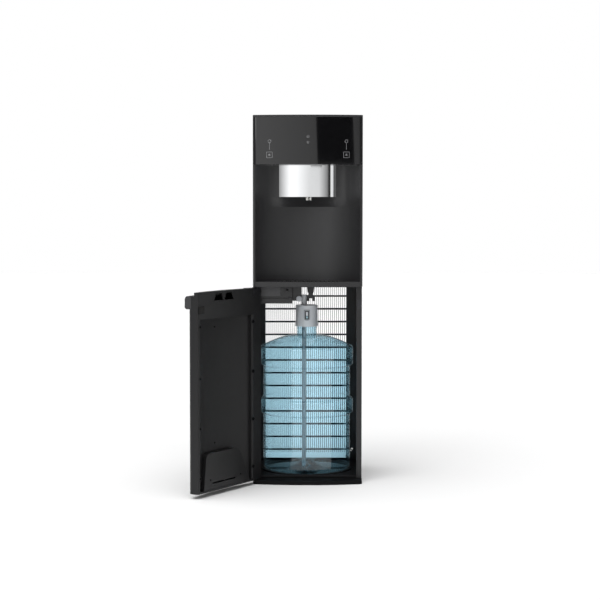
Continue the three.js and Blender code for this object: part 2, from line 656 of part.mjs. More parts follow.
function coldJacket() {
  const { x, y, radius, bottomZ, height } = COLD;
  const outside = rodZ(x, y, bottomZ - JACKET_THICK, bottomZ + height - 20, radius + JACKET_THICK, 24);
  const legs = [60, 180, 300].map((angle) => {
    const reach = radius - 6;
    const at = [x + reach * Math.cos(angle * DEG), y + reach * Math.sin(angle * DEG)];
    return rodZ(...at, DECK_TOP_Z + GAP, bottomZ - JACKET_THICK + 1, 7, 10);
  });
  return cut(join(outside, ...legs), rodZ(x, y, bottomZ - GAP, HEIGHT, radius + GAP + 0.6, 24));
}

add('cold_tank', tank(COLD), PLATED_STEEL);
add('cold_tank_jacket', coldJacket(), FOAM);
add('hot_tank', tank(HOT), PLATED_STEEL);

// Alcove: one black moulding with a scooped back, a strip at each side and a floor with a well for the tray.
function alcoveShell() {
  const topZ = HEAD_Z - GAP;
  const front = prism(bodyOutline(0, FACE_BACK_Y), ALCOVE_Z, topZ);
  const outer = SCOOP_RADIUS + MOULDING;
  const sweep = Math.asin((FACE_BACK_Y - 1 - SCOOP_CENTRE_Y) / outer) / DEG;
  const bowl = prism(arc(0, SCOOP_CENTRE_Y, outer, sweep, 180 - sweep, 20), ALCOVE_Z, topZ);
  const inside = prism(bodyOutline(MOULDING, FACE_BACK_Y + 1), ALCOVE_FLOOR_Z, topZ + 1);
  const behind = cut(inside, scoop(MOULDING, ALCOVE_FLOOR_Z - 1, topZ + 2));
  const hollow = scoop(0, ALCOVE_FLOOR_Z, topZ + 1);
  const well = trayShape(0, ALCOVE_Z + MOULDING / 2, ALCOVE_FLOOR_Z + 1);
  return cut(join(front, bowl), behind, hollow, well);
}

// The outline shared by the well, the tray and its grille: the scoop and the front, moved in by margin.
function trayShape(margin, z0, z1) {
  const inset = TRAY_MARGIN + margin;
  const round = scoop(-inset, z0, z1);
  const halfWidth = HALF - 40 - inset;
  const back = SCOOP_BACK_Y + 5;
  const line = arc(0, BOW_CENTRE_Y, BOW_RADIUS - inset, 255, 285, 16);
  const front = prism([...line, [400, back], [-400, back]], z0, z1);
  return round.intersect(front).intersect(block(-halfWidth, halfWidth, -400, back, z0 - 1, z1 + 1));
}

function dripTray() {
  const bottomZ = ALCOVE_Z + MOULDING / 2 + GAP;
  const topZ = ALCOVE_FLOOR_Z - 2.4;
  const hollow = trayShape(RUNNING_GAP + TRAY_WALL, bottomZ + TRAY_WALL, topZ + 1);
  return cut(trayShape(RUNNING_GAP, bottomZ, topZ), hollow);
}

function dripGrille() {
  const z0 = ALCOVE_FLOOR_Z - 2.4 + GAP;
  const plate = trayShape(RUNNING_GAP, z0, ALCOVE_FLOOR_Z + 0.4);
  const slots = [];
  for (let x = -GRILLE_REACH; x <= GRILLE_REACH; x += GRILLE_PITCH) {
    const backY = scoopY(Math.abs(x) + GRILLE_SLOT / 2) - TRAY_MARGIN - GRILLE_RIM;
    const sides = [x - GRILLE_SLOT / 2, x + GRILLE_SLOT / 2];
    slots.push(block(...sides, FRONT_Y + 26, backY, z0 - 1, ALCOVE_FLOOR_Z + 2));
  }
  return cut(plate, ...slots);
}

add('alcove_shell', alcoveShell(), MATTE_BLACK);
add('drip_tray', dripTray(), MATTE_BLACK);
add('drip_grille', dripGrille(), MATTE_BLACK);

// Spout housing: a block that swells out of the scooped back, sloping away below, with bores for the nozzles.
const SPOUT_TOP_Z = HEAD_Z - GAP;
const SPOUT_BOTTOM_Z = SPOUT_TOP_Z - SPOUT_HEIGHT;
const NOZZLES = { cold_nozzle: { x: -1, radius: 3.8 }, hot_nozzle: { x: 8, radius: 2.8 } };
const NOZZLE_DROP = 9;

function spoutHousing() {
  const side = SPOUT_WIDTH / 2 + FAIRING_SIDE;
  const flank = (sign) => [
    [sign * (side - FAIRING_SIDE * 0.35), scoopY(side - FAIRING_SIDE * 0.35) - 3],
    [sign * side, scoopY(side) - 0.4],
  ];
  const right = flank(1);
  const left = flank(-1).reverse();
  const outline = [...left, ...spoutLine(0), ...right, [side, SCOOP_BACK_Y + 20], [-side, SCOOP_BACK_Y + 20]];
  const full = prism(outline, SPOUT_BOTTOM_Z - FAIRING_BELOW, SPOUT_TOP_Z);
  const trimmed = full.intersect(scoop(-GAP, SPOUT_BOTTOM_Z - FAIRING_BELOW - 1, SPOUT_TOP_Z + 1));
  const flatY = NOZZLE_Y + 6;
  const slope = new THREE.BoxGeometry(2 * side + 40, 200, 80);
  slope.translate(0, 0, -40).rotateX(Math.atan2(-FAIRING_BELOW, SCOOP_BACK_Y - flatY));
  slope.translate(0, flatY, SPOUT_BOTTOM_Z);
  const flat = block(-side - 9, side + 9, SPOUT_FRONT_Y - 30, flatY, 0, SPOUT_BOTTOM_Z);
  const bores = Object.values(NOZZLES).map(({ x, radius }) => {
    return rodZ(x, NOZZLE_Y, SPOUT_BOTTOM_Z - 5, SPOUT_BOTTOM_Z + 31, radius + GAP);
  });
  return cut(trimmed, solid(slope), flat, ...bores);
}

function spoutHood() {
  const outline = [...spoutLine(GAP + HOOD_THICK), ...spoutLine(GAP).reverse()];
  return prism(outline, SPOUT_BOTTOM_Z, SPOUT_TOP_Z);
}

function nozzle({ x, radius }) {
  const z0 = SPOUT_BOTTOM_Z - NOZZLE_DROP;
  const z1 = SPOUT_BOTTOM_Z + 30;
  return cut(rodZ(x, NOZZLE_Y, z0, z1, radius, 16), rodZ(x, NOZZLE_Y, z0 - 1, z1 + 1, radius - 1, 16));
}

add('spout_housing', spoutHousing(), MATTE_BLACK);
add('spout_hood', spoutHood(), POLISHED_STEEL);
for (const [name, size] of Object.entries(NOZZLES)) add(name, nozzle(size), WHITE_PLASTIC);

// Head: a glossy bowed fascia that overhangs the alcove, the touch board behind it and the lid on top.
function headFascia() {
  const outer = prism(bodyOutline(0, FACE_BACK_Y), HEAD_Z, SHEET_TOP_Z);
  const hollow = prism(bodyOutline(MOULDING, FACE_BACK_Y + 1), HEAD_Z + MOULDING, SHEET_TOP_Z + 1);
  const ceiling = block(-HALF + 20, HALF - 20, FACE_BACK_Y - 1, SCOOP_BACK_Y + 5, HEAD_Z, HEAD_Z + MOULDING);
  return join(cut(outer, hollow), ceiling);
}

function touchBoard() {
  const half = HALF - 35;
  const frontY = BOW_CENTRE_Y - Math.sqrt((BOW_RADIUS - MOULDING) ** 2 - half ** 2) + 2;
  return block(-half, half, frontY, frontY + 1.6, HEAD_Z + MOULDING + GAP, HEAD_Z + 82);
}

function topCover() {
  const plate = prism(bodyOutline(0, BACK_Y), LID_Z, HEIGHT);
  return cut(plate, prism(bodyOutline(MOULDING, BACK_Y - MOULDING), LID_Z - 1, HEIGHT - MOULDING));
}

add('head_fascia', headFascia(), GLOSS_BLACK);
add('touch_board', touchBoard(), [0x1f4a2c, 0.5, 0]);
add('top_cover', topCover(), MATTE_BLACK);

// Pump: hung under the deck at the front left of the bay, with its cover plate, valve block and inlet screen.
const PUMP = { left: -HALF + 16, right: -HALF + 112, frontY: -108, backY: -30, bottomZ: DECK_Z - 47.5 };
const VALVE = { left: PUMP.right + GAP, right: -16, frontY: -96, backY: -12, bottomZ: DECK_Z - 40.5 };
const SCREEN = { x: VALVE.right - 8, z: DECK_Z - 34.5, radius: 8, plug: 5 };
const SWITCH = { x: PUMP.right - 15, z: DECK_Z - 10.5, radius: 2.5 };
const COVER = { left: PUMP.left + 2, right: PUMP.left + 62, bottomZ: DECK_Z - 25.5, thick: 2.4 };
const HUNG_TOP_Z = DECK_Z - GAP;

function pumpHousing() {
  const { left, right, frontY, backY, bottomZ } = PUMP;
  const outer = block(left, right, frontY, backY, bottomZ, HUNG_TOP_Z);
  const wall = MOULDING;
  const inside = [left + wall, right - wall, frontY + wall, backY - wall];
  const hollow = block(...inside, bottomZ + wall, HUNG_TOP_Z + 1);
  const seam = block(left - 1, right + 1, frontY - 1, frontY + 0.8, bottomZ + 15, bottomZ + 16.4);
  const boss = rodY(SWITCH.x, SWITCH.z, frontY + 1, frontY + 18, SWITCH.radius + 3, 12);
  const bore = rodY(SWITCH.x, SWITCH.z, frontY - 1, frontY + 19, SWITCH.radius + RUNNING_GAP / 2, 16);
  return cut(join(cut(outer, hollow), boss), seam, bore);
}

function pumpCover() {
  const y1 = PUMP.frontY - GAP;
  const { left, right, bottomZ, thick } = COVER;
  const corners = [[left, bottomZ], [right, bottomZ], [right, HUNG_TOP_Z], [left, HUNG_TOP_Z]];
  return frontPrism(rounded(corners, [3, 3, 0, 0]), y1 - thick, y1);
}

function waterPump() {
  const y = (PUMP.frontY + PUMP.backY) / 2;
  const z = PUMP.bottomZ + 24;
  const motor = rodX(y, z, PUMP.left + 8, PUMP.left + 60, 17);
  const head = rodX(y, z, PUMP.left + 59, PUMP.right - 12, 19.5);
  const foot = block(PUMP.left + 20, PUMP.left + 50, y - 12, y + 12, PUMP.bottomZ + MOULDING + GAP, z);
  return join(motor, head, foot);
}

function valveBlock() {
  const { left, right, frontY, backY, bottomZ } = VALVE;
  const body = block(left, right, frontY, backY, bottomZ, HUNG_TOP_Z);
  const socket = rodY(SCREEN.x, SCREEN.z, frontY - 1, frontY + 4, SCREEN.plug + 0.4);
  return cut(body, socket);
}

function inletScreenCap() {
  const face = rodY(SCREEN.x, SCREEN.z, VALVE.frontY - 4, VALVE.frontY - GAP, SCREEN.radius);
  return join(face, rodY(SCREEN.x, SCREEN.z, VALVE.frontY - 1, VALVE.frontY + 3, SCREEN.plug));
}

function switchPlunger() {
  const tipY = DOOR_BACK_Y + 0.8;
  const stem = rodY(SWITCH.x, SWITCH.z, tipY, PUMP.frontY + 14, SWITCH.radius, 16);
  return join(stem, rodY(SWITCH.x, SWITCH.z, PUMP.frontY - 9, PUMP.frontY - 7, SWITCH.radius + 1.5, 16));
}

add('pump_housing', pumpHousing(), MATTE_BLACK);
add('pump_cover', pumpCover(), [0x4a4a4b, 0.5, 0]);
add('water_pump', waterPump(), WHITE_PLASTIC);
add('pump_valve_block', valveBlock(), MATTE_BLACK);
add('inlet_screen_cap', inletScreenCap(), GREY_PLASTIC);
add('door_switch_plunger', switchPlunger(), WHITE_PLASTIC);

// Probe hanger: a forked bracket under the deck, where the probe hangs while a bottle is changed.
const HANGER = { left: 0.5, right: 23, frontY: -6, backY: 14, bottomZ: DECK_Z - 46.5 };

function probeHanger() {
  const { left, right, frontY, backY, bottomZ } = HANGER;
  const middle = (left + right) / 2;
  const profile = [
    [left, HUNG_TOP_Z], [left + 2, bottomZ + 26], [left + 5, bottomZ + 20], [left, bottomZ + 12],
    [left, bottomZ], [middle - 4, bottomZ], [middle - 4, bottomZ + 8], [middle + 4, bottomZ + 8],
    [middle + 4, bottomZ], [right, bottomZ], [right, bottomZ + 12], [right - 6, bottomZ + 20],
    [right - 3, bottomZ + 26], [right, HUNG_TOP_Z],
  ];
  return frontPrism(profile, frontY, backY);
}

add('probe_hanger', probeHanger(), MATTE_BLACK);

// Bottle: a blown returnable bottle with two wide hoops. Its shell and the water in it follow one outline.
const BOTTLE_Z = BAY_FLOOR_Z + GAP;
const WATER_Z = 404;
const BOTTLE_SIDES = 24;

function bottleOutline(inset) {
  const wall = BOTTLE_RADIUS - inset;
  const hoop = HOOP_RADIUS - inset;
  const shoulderZ = HOOP_HEIGHTS.at(-1)[1];
  const footZ = BOTTLE_Z + inset;
  const points = [[wall - 9, footZ], [wall - 2, footZ + 5], [wall, footZ + 14]];
  for (const [z0, z1] of HOOP_HEIGHTS) {
    points.push([wall, z0 - 7], [hoop, z0 + 2], [hoop, z1 - 6]);
    if (z1 !== shoulderZ) points.push([wall, z1 + 3]);
  }
  points.push([hoop - 4, shoulderZ]);
  const neck = NECK_RADIUS - inset;
  for (const share of [0.3, 0.6, 0.85]) {
    const radius = hoop - 4 + (neck - hoop + 4) * share;
    points.push([radius, shoulderZ - inset * share + SHOULDER_RISE * Math.sin((share * Math.PI) / 2)]);
  }
  points.push([neck, shoulderZ + SHOULDER_RISE - inset]);
  return points;
}

function bottle() {
  const outside = [[0, BOTTLE_Z], ...bottleOutline(0), [NECK_RADIUS, NECK_TOP_Z]];
  const inner = bottleOutline(BOTTLE_WALL).reverse();
  const inside = [[NECK_RADIUS - BOTTLE_WALL, NECK_TOP_Z], ...inner, [0, BOTTLE_Z + BOTTLE_WALL]];
  return turned([...outside, ...inside], 0, BOTTLE_Y, BOTTLE_SIDES);
}

function bottleWater() {
  const inset = BOTTLE_WALL + GAP;
  const full = turned([
    [0, BOTTLE_Z + inset], ...bottleOutline(inset), [0, HOOP_HEIGHTS.at(-1)[1] + SHOULDER_RISE - inset],
  ], 0, BOTTLE_Y, BOTTLE_SIDES);
  const above = block(-HALF, HALF, -HALF, HALF, WATER_Z, HEIGHT);
  return cut(full, above, rodZ(PROBE_X, BOTTLE_Y, BOTTLE_Z - 9, HEIGHT, PROBE_RADIUS + GAP, 16));
}

add('bottle', bottle(), CLEAR_BLUE);
add('bottle_water', bottleWater(), CLEAR_BLUE);

// Probe: a screw-on cap with a tube down to the bottom of the bottle, an elbow to the valve block and a
// release button.
const CAP_PLUG_Z = NECK_TOP_Z + 1;
const BUTTON_BACK_Y = BOTTLE_Y - NECK_RADIUS - BUTTON_TRAVEL - 0.5;
const BUTTON_FRONT_Y = BOTTLE_Y - CAP_RADIUS - BUTTON_TRAVEL - 0.5;
const ELBOW_RADIUS = 7.5;
const CAP_SIDES = 24;

function buttonOutline(margin) {
  const half = BUTTON_WIDTH / 2 + margin;
  const z0 = BUTTON_BOTTOM_Z - margin;
  const z1 = BUTTON_BOTTOM_Z + BUTTON_HEIGHT + margin;
  return rounded([[-half, z0], [half, z0], [half, z1], [-half, z1]], [8, 8, 2, 2]);
}

function probeCap() {
  const ring = rodZ(0, BOTTLE_Y, CAP_BOTTOM_Z, CAP_BOTTOM_Z + 14, CAP_RADIUS + 1, CAP_SIDES);
  const body = rodZ(0, BOTTLE_Y, CAP_BOTTOM_Z, CAP_TOP_Z, CAP_RADIUS, CAP_SIDES);
  const socket = rodZ(0, BOTTLE_Y, CAP_BOTTOM_Z - 1, CAP_PLUG_Z, NECK_RADIUS + GAP + 0.3, CAP_SIDES);
  const bore = rodZ(PROBE_X, BOTTLE_Y, CAP_BOTTOM_Z, CAP_TOP_Z + 1, PROBE_RADIUS + GAP, 16);
  const slot = frontPrism(buttonOutline(0.5), BUTTON_FRONT_Y - 9, BUTTON_BACK_Y + BUTTON_TRAVEL + 0.4);
  return cut(join(ring, body), socket, bore, slot);
}

function probeTube() {
  const outer = rodZ(PROBE_X, BOTTLE_Y, BOTTLE_Z + 8, PROBE_TOP_Z, PROBE_RADIUS, 16);
  return cut(outer, rodZ(PROBE_X, BOTTLE_Y, BOTTLE_Z, PROBE_TOP_Z + 1, PROBE_RADIUS - 1.6, 12));
}

function probeElbow() {
  const z0 = CAP_TOP_Z + GAP;
  const upright = rodZ(PROBE_X, BOTTLE_Y, z0, PROBE_TOP_Z + 3, ELBOW_RADIUS);
  const boss = pipe([
    [PROBE_X, BOTTLE_Y, SCREEN.z - 2],
    [PROBE_X, BOTTLE_Y + 24, SCREEN.z - 2],
    [VALVE.right - 20, BOTTLE_Y + 24, SCREEN.z - 2],
    [VALVE.right - 20, VALVE.backY + GAP, SCREEN.z - 2],
  ], 4.5, 9);
  return cut(join(upright, boss), rodZ(PROBE_X, BOTTLE_Y, z0 - 1, PROBE_TOP_Z + GAP, PROBE_RADIUS + GAP, 16));
}

add('probe_cap', probeCap(), GREY_PLASTIC);
add('cap_release_button', frontPrism(buttonOutline(0), BUTTON_FRONT_Y, BUTTON_BACK_Y), GREY_PLASTIC);
add('probe_tube', probeTube(), GREY_PLASTIC);
add('probe_elbow', probeElbow(), GREY_PLASTIC);

// Water pipes: from the pump to the chilled tank, and from each tank to its nozzle.
function feedPipe() {
  const z = COLD.bottomZ + COLD.height + 24;
  return pipe([
    [FEED.x, FEED.y, PUMP.bottomZ + 47], [FEED.x, FEED.y, z], [COLD.x, FEED.y, z], [COLD.x, COLD.y, z],
    [COLD.x, COLD.y, z - 14],
  ], PIPE_RADIUS, 9);
}

function outletPipe(nozzleX, tankX, riseZ) {
  const y = SCOOP_BACK_Y + 12;
  return pipe([
    [nozzleX, y, SPOUT_TOP_Z - 30], [nozzleX, y, HEAD_Z + riseZ], [tankX, y, HEAD_Z + riseZ],
    [tankX, y + 22, HEAD_Z + riseZ],
  ], 3, 8);
}

add('feed_pipe', feedPipe(), WHITE_PLASTIC);
add('cold_pipe', outletPipe(-14, -34, 22), WHITE_PLASTIC);
add('hot_pipe', outletPipe(14, 44, 22), WHITE_PLASTIC);

// Hinge pieces on the cabinet, and the plate that the door's magnet pulls to.
const BRACKET_THICK = 1.7;
const LEAF_THICK = 1.4;
const BRACKET_Z = ALCOVE_Z - GAP - BRACKET_THICK;

function upperHingeBracket() {
  const flangeY = CABINET_FRONT_Y - GAP;
  const plate = block(-HALF + 1, HINGE_X + 27, HINGE_Y - 8, flangeY, BRACKET_Z, BRACKET_Z + BRACKET_THICK);
  const width = [-HALF + 1, -HALF + POST_WIDTH - 1];
  const flange = block(...width, flangeY - 1.6, flangeY, BRACKET_Z - 34, BRACKET_Z + 1);
  return join(plate, flange, rodZ(HINGE_X, HINGE_Y, DOOR_TOP_Z - 18, BRACKET_Z + 1, PIN_RADIUS, 16));
}

function lowerHingePin() {
  const z0 = BASE_HEIGHT + GAP;
  const washer = rodZ(HINGE_X, HINGE_Y, z0, z0 + 1, PIN_RADIUS + 4);
  return join(washer, rodZ(HINGE_X, HINGE_Y, z0, DOOR_BOTTOM_Z + 16, PIN_RADIUS));
}

const MAGNET = { left: HALF - 27, right: HALF - 5, bottomZ: DOOR_TOP_Z - 58, topZ: DOOR_TOP_Z - 38 };

function strikePlate() {
  const y1 = CABINET_FRONT_Y - GAP;
  return block(HALF - POST_WIDTH + 1, HALF - 2, y1 - SHEET, y1, MAGNET.bottomZ - 3, MAGNET.topZ + 3);
}

add('upper_hinge_bracket', upperHingeBracket(), PLATED_STEEL);
add('lower_hinge_pin', lowerHingePin(), PLATED_STEEL);
add('strike_plate', strikePlate(), PLATED_STEEL);

// Door: built closed, then swung open about its pins.
const hinge = new THREE.Group();
hinge.position.set(HINGE_X, HINGE_Y, 0);
hinge.rotation.z = -DOOR_OPEN_ANGLE * DEG;
const door = new THREE.Group();
door.position.set(-HINGE_X, -HINGE_Y, 0);
hinge.add(door);
dispenser.add(hinge);

const RECESS_LEFT = -HALF + RECESS_FROM_SIDE;
const PIN_HOLE = PIN_RADIUS + RUNNING_GAP;

// The space in front of the set-back top edge, above the handle ledge, grown by margin.
function fingerRecess(margin) {
  const line = arc(0, BOW_CENTRE_Y, BOW_RADIUS - RECESS_DEPTH - margin, 256, 284, 14);
  const ahead = prism([...line, [400, -400], [-400, -400]].reverse(), LEDGE_TOP_Z - margin, DOOR_TOP_Z + 9);
  return ahead.intersect(block(RECESS_LEFT - margin, 400, -400, 0, 0, HEIGHT));
}

function doorOuterSkin() {
  const outer = prism(bodyOutline(0, DOOR_BACK_Y), DOOR_BOTTOM_Z, DOOR_TOP_Z);
  const room = prism(bodyOutline(MOULDING, DOOR_BACK_Y + 1), DOOR_BOTTOM_Z + MOULDING, DOOR_TOP_Z - MOULDING);
  const pinHole = rodZ(HINGE_X, HINGE_Y, 0, DOOR_TOP_Z + 1, PIN_HOLE, 16);
  return cut(outer, fingerRecess(0), cut(room, fingerRecess(MOULDING)), pinHole);
}

const RIB = { x: FIELD_LEFT - 6, radius: 5, y: DOOR_BACK_Y - 2.5 };
const BOSS_HEIGHTS = [55, 190, 325, FIELD_TOP_Z - 20];
const POCKETS = { xs: [FIELD_LEFT + 110, FIELD_LEFT + 160], height: 19, top: 28, bottom: 44, below: 3 };
const SCREW_RADIUS = 2.2;

function doorInnerPanel() {
  const inside = HALF - MOULDING - GAP;
  const bottomZ = DOOR_BOTTOM_Z + MOULDING + GAP;
  const topZ = DOOR_TOP_Z - MOULDING - GAP;
  const plate = block(-inside, inside, DOOR_BACK_Y - PANEL_THICK, DOOR_BACK_Y, bottomZ, topZ);
  const tub = prism(fieldOutline(-MOULDING), bottomZ, FIELD_TOP_Z + MOULDING);
  const trimmed = tub.intersect(block(-inside, inside, -400, DOOR_BACK_Y, 0, HEIGHT));
  const rib = rodZ(RIB.x, RIB.y, bottomZ + 4, FIELD_TOP_Z, RIB.radius, 16);
  const field = prism(fieldOutline(0), bottomZ + MOULDING, FIELD_TOP_Z);
  const bosses = BOSS_HEIGHTS.map((z) => rodY(FIELD_RIGHT, z, DOOR_BACK_Y - 12, DOOR_BACK_Y, 6, 16));
  const screwHoles = BOSS_HEIGHTS.map((z) => rodY(RIB.x, z, RIB.y - 2, DOOR_BACK_Y + 9, SCREW_RADIUS, 12));
  const pockets = POCKETS.xs.map((x) => {
    const z1 = topZ - POCKETS.below;
    const z0 = z1 - POCKETS.height;
    const [low, high] = [POCKETS.bottom / 2, POCKETS.top / 2];
    const corners = [[x - low, z0], [x + low, z0], [x + high, z1], [x - high, z1]];
    return frontPrism(corners, DOOR_BACK_Y - PANEL_THICK - 1, DOOR_BACK_Y + 1);
  });
  return cut(join(cut(join(plate, trimmed, rib), field), ...bosses), ...screwHoles, ...pockets);
}

// The raised box at the foot of the field: the hollow cover of the door's stiffener, with two slots.
const KICK = {
  bottom: [FIELD_LEFT + 6, FIELD_RIGHT - 20],
  top: [FIELD_LEFT + 62, FIELD_RIGHT - 32],
  topZ: 118,
  slots: [[FIELD_LEFT + 80, FIELD_LEFT + 131], [FIELD_LEFT + 134, FIELD_LEFT + 189]],
  slotZ: [33, 37],
};

function kickOutline(inset) {
  const z0 = DOOR_BOTTOM_Z + 2 * MOULDING + 2 * GAP + inset;
  const z1 = KICK.topZ - inset;
  const corners = [
    [KICK.bottom[0] + inset * 1.4, z0], [KICK.bottom[1] - inset, z0], [KICK.top[1] - inset, z1],
    [KICK.top[0] + inset * 0.7, z1],
  ];
  return rounded(corners, [2, 2, 14, 20]);
}

function doorKickBox() {
  const frontY = DOOR_BACK_Y - FIELD_DEPTH - 4;
  const faceY = DOOR_BACK_Y - 1;
  const outer = frontPrism(kickOutline(0), frontY, faceY).intersect(prism(fieldOutline(GAP), 0, HEIGHT));
  const hollow = frontPrism(kickOutline(MOULDING), frontY - 1, faceY - MOULDING);
  const slots = KICK.slots.map(([x0, x1]) => block(x0, x1, frontY, faceY + 1, ...KICK.slotZ));
  return cut(outer, hollow, ...slots);
}

// The handle: a full-width ledge with a rounded top, standing forward of the skin.
function doorHandle() {
  const skin = BOW_RADIUS + GAP;
  const lip = BOW_RADIUS + HANDLE_REACH;
  const z0 = LEDGE_TOP_Z - HANDLE_HEIGHT;
  const z1 = LEDGE_TOP_Z;
  const profile = [
    [skin - 40, z0], [lip - 4, z0], [lip, z0 + 4], [lip, z1 - 8], [lip - 2, z1 - 3.5], [lip - 6, z1],
    [skin - 40, z1], [skin - 40, z0],
  ];
  const ring = turned(profile, 0, BOW_CENTRE_Y, 360);
  const front = ring.intersect(block(-HALF, HALF, FRONT_Y - 30, DOOR_BACK_Y - 22, 0, HEIGHT));
  return cut(front, prism(bodyOutline(-GAP, DOOR_BACK_Y), 0, HEIGHT));
}

// The upper hinge leaf: an ear on top of the door that the pin passes through, folded down its inner face.
function upperHingeLeaf() {
  const earZ = DOOR_TOP_Z + GAP;
  const plateY = DOOR_BACK_Y + GAP;
  const ear = block(HINGE_X - 5.5, HINGE_X + 12, HINGE_Y - 6, plateY + LEAF_THICK, earZ, earZ + LEAF_THICK);
  const plate = block(HINGE_X - 2, HINGE_X + 35, plateY, plateY + LEAF_THICK, DOOR_TOP_Z - 22, earZ + 0.5);
  return cut(join(ear, plate), rodZ(HINGE_X, HINGE_Y, earZ - 1, earZ + 4, PIN_HOLE, 16));
}

function doorMagnet() {
  const y0 = DOOR_BACK_Y + GAP;
  return block(MAGNET.left, MAGNET.right, y0, y0 + 3, MAGNET.bottomZ, MAGNET.topZ);
}

add('door_outer_skin', doorOuterSkin(), MATTE_BLACK, door);
add('door_inner_panel', doorInnerPanel(), MATTE_BLACK, door);
add('door_kick_box', doorKickBox(), MATTE_BLACK, door);
add('door_handle', doorHandle(), [0x3a3a3c, 0.3, 0.2], door);
add('upper_hinge_leaf', upperHingeLeaf(), PLATED_STEEL, door);
add('door_magnet', doorMagnet(), RUBBER, door);

export default dispenser;
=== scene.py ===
import json
import math

import bmesh
import bpy
from mathutils import Matrix, Vector


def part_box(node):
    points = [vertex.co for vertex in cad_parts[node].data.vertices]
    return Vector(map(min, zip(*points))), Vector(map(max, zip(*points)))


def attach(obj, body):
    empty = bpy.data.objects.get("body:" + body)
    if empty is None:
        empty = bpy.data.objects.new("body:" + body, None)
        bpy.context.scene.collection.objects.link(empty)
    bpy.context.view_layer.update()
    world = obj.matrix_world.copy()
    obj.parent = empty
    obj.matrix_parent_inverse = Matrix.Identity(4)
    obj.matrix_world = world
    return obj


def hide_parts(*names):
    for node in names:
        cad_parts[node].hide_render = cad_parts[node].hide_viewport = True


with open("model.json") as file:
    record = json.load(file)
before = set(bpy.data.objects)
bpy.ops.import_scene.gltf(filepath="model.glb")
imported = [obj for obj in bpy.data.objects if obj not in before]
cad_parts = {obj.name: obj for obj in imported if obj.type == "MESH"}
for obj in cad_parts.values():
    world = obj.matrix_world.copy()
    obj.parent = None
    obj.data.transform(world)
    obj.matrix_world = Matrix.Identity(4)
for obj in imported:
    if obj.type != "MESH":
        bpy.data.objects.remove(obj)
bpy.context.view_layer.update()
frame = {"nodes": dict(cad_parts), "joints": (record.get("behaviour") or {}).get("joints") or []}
cad = frame["nodes"]
MM = 0.001


# ---- Studio ----
# A white floor and a surround that is brightest at the front left, with one softbox there and a broad light
# overhead. A dark card stands out of shot at the front right, where the glossy head mirrors it.

class Level:
    """One output of a material's nodes. Arithmetic on levels adds the Math nodes that work it out."""

    def __init__(self, finish, socket):
        self.finish, self.socket = finish, socket

    def maths(self, operation, first, second=0.0, third=0.0):
        return self.finish.node("Math", {"operation": operation}, {0: first, 1: second, 2: third})

    def __add__(self, other):
        return self.maths("ADD", self, other)

    def __radd__(self, other):
        return self.maths("ADD", other, self)

    def __sub__(self, other):
        return self.maths("SUBTRACT", self, other)

    def __rsub__(self, other):
        return self.maths("SUBTRACT", other, self)

    def __mul__(self, other):
        return self.maths("MULTIPLY", self, other)

    def __rmul__(self, other):
        return self.maths("MULTIPLY", other, self)

    def __truediv__(self, other):
        return self.maths("DIVIDE", self, other)

    def __pow__(self, other):
        return self.maths("POWER", self, other)

    def ramp(self, low, high):
        """0 at low, 1 at high and smooth between them."""
        ends = {"Value": self, "From Min": low, "From Max": high}
        return self.finish.node("MapRange", {"interpolation_type": "SMOOTHSTEP"}, ends)


class Finish:
    """A surface finish: one Principled shader with its constants, and the nodes that vary its sockets."""

    def __init__(self, name, constants):
        self.material = bpy.data.materials.new(name)
        self.material.use_nodes = True
        self.tree = self.material.node_tree
        self.shader = self.tree.nodes["Principled BSDF"]
        for socket, value in constants.items():
            self.shader.inputs[socket].default_value = value

    def node(self, kind, settings, inputs, output=0):
        """Adds a node: its settings first, then the values or links of its sockets. Gives one output back."""
        made = self.tree.nodes.new("ShaderNode" + kind)
        for setting, value in settings.items():
            setattr(made, setting, value)
        for socket, value in inputs.items():
            if isinstance(value, Level):
                self.tree.links.new(value.socket, made.inputs[socket])
            else:
                made.inputs[socket].default_value = value
        return Level(self, made.outputs[output])

    def place(self, output="Object"):
        return self.node("TexCoord", {}, {}, output)

    def noise(self, size, detail=2.0, stretch=(1, 1, 1)):
        """Even noise from 0 to 1, whose lumps are about size metres across."""
        moved = self.node("VectorMath", {"operation": "MULTIPLY"}, {0: self.place(), 1: stretch})
        return self.node("TexNoise", {}, {"Vector": moved, "Scale": 1 / size, "Detail": detail})

    def mix(self, first, second, share):
        colours = {0: share, 6: (*first, 1) if isinstance(first, tuple) else first,
                   7: (*second, 1) if isinstance(second, tuple) else second}
        return self.node("Mix", {"data_type": "RGBA", "clamp_factor": True}, colours, 2)

    def feed(self, socket, level):
        self.tree.links.new(level.socket, self.shader.inputs[socket])

    def bump(self, height, depth, strength=1.0):
        """Raises the surface by depth metres where height is 1."""
        ends = {"Height": height, "Distance": depth, "Strength": strength}
        self.feed("Normal", self.node("Bump", {}, ends))


FLOOR_HALF = 14.0
floor_mesh = bpy.data.meshes.new("studio_floor")
floor_corners = [(-FLOOR_HALF, -FLOOR_HALF, 0), (FLOOR_HALF, -FLOOR_HALF, 0),
                 (FLOOR_HALF, FLOOR_HALF, 0), (-FLOOR_HALF, FLOOR_HALF, 0)]
floor_mesh.from_pydata([(x, y, z - 0.2 * MM) for x, y, z in floor_corners], [], [(0, 1, 2, 3)])
studio_floor = bpy.data.objects.new("studio_floor", floor_mesh)
bpy.context.scene.collection.objects.link(studio_floor)
paper = Finish("studio_paper", {"Roughness": 0.9, "Specular IOR Level": 0.1})
paper.feed("Base Color", paper.mix((0.93, 0.93, 0.93), (0.95, 0.95, 0.95), paper.noise(0.4)))
studio_floor.data.materials.append(paper.material)

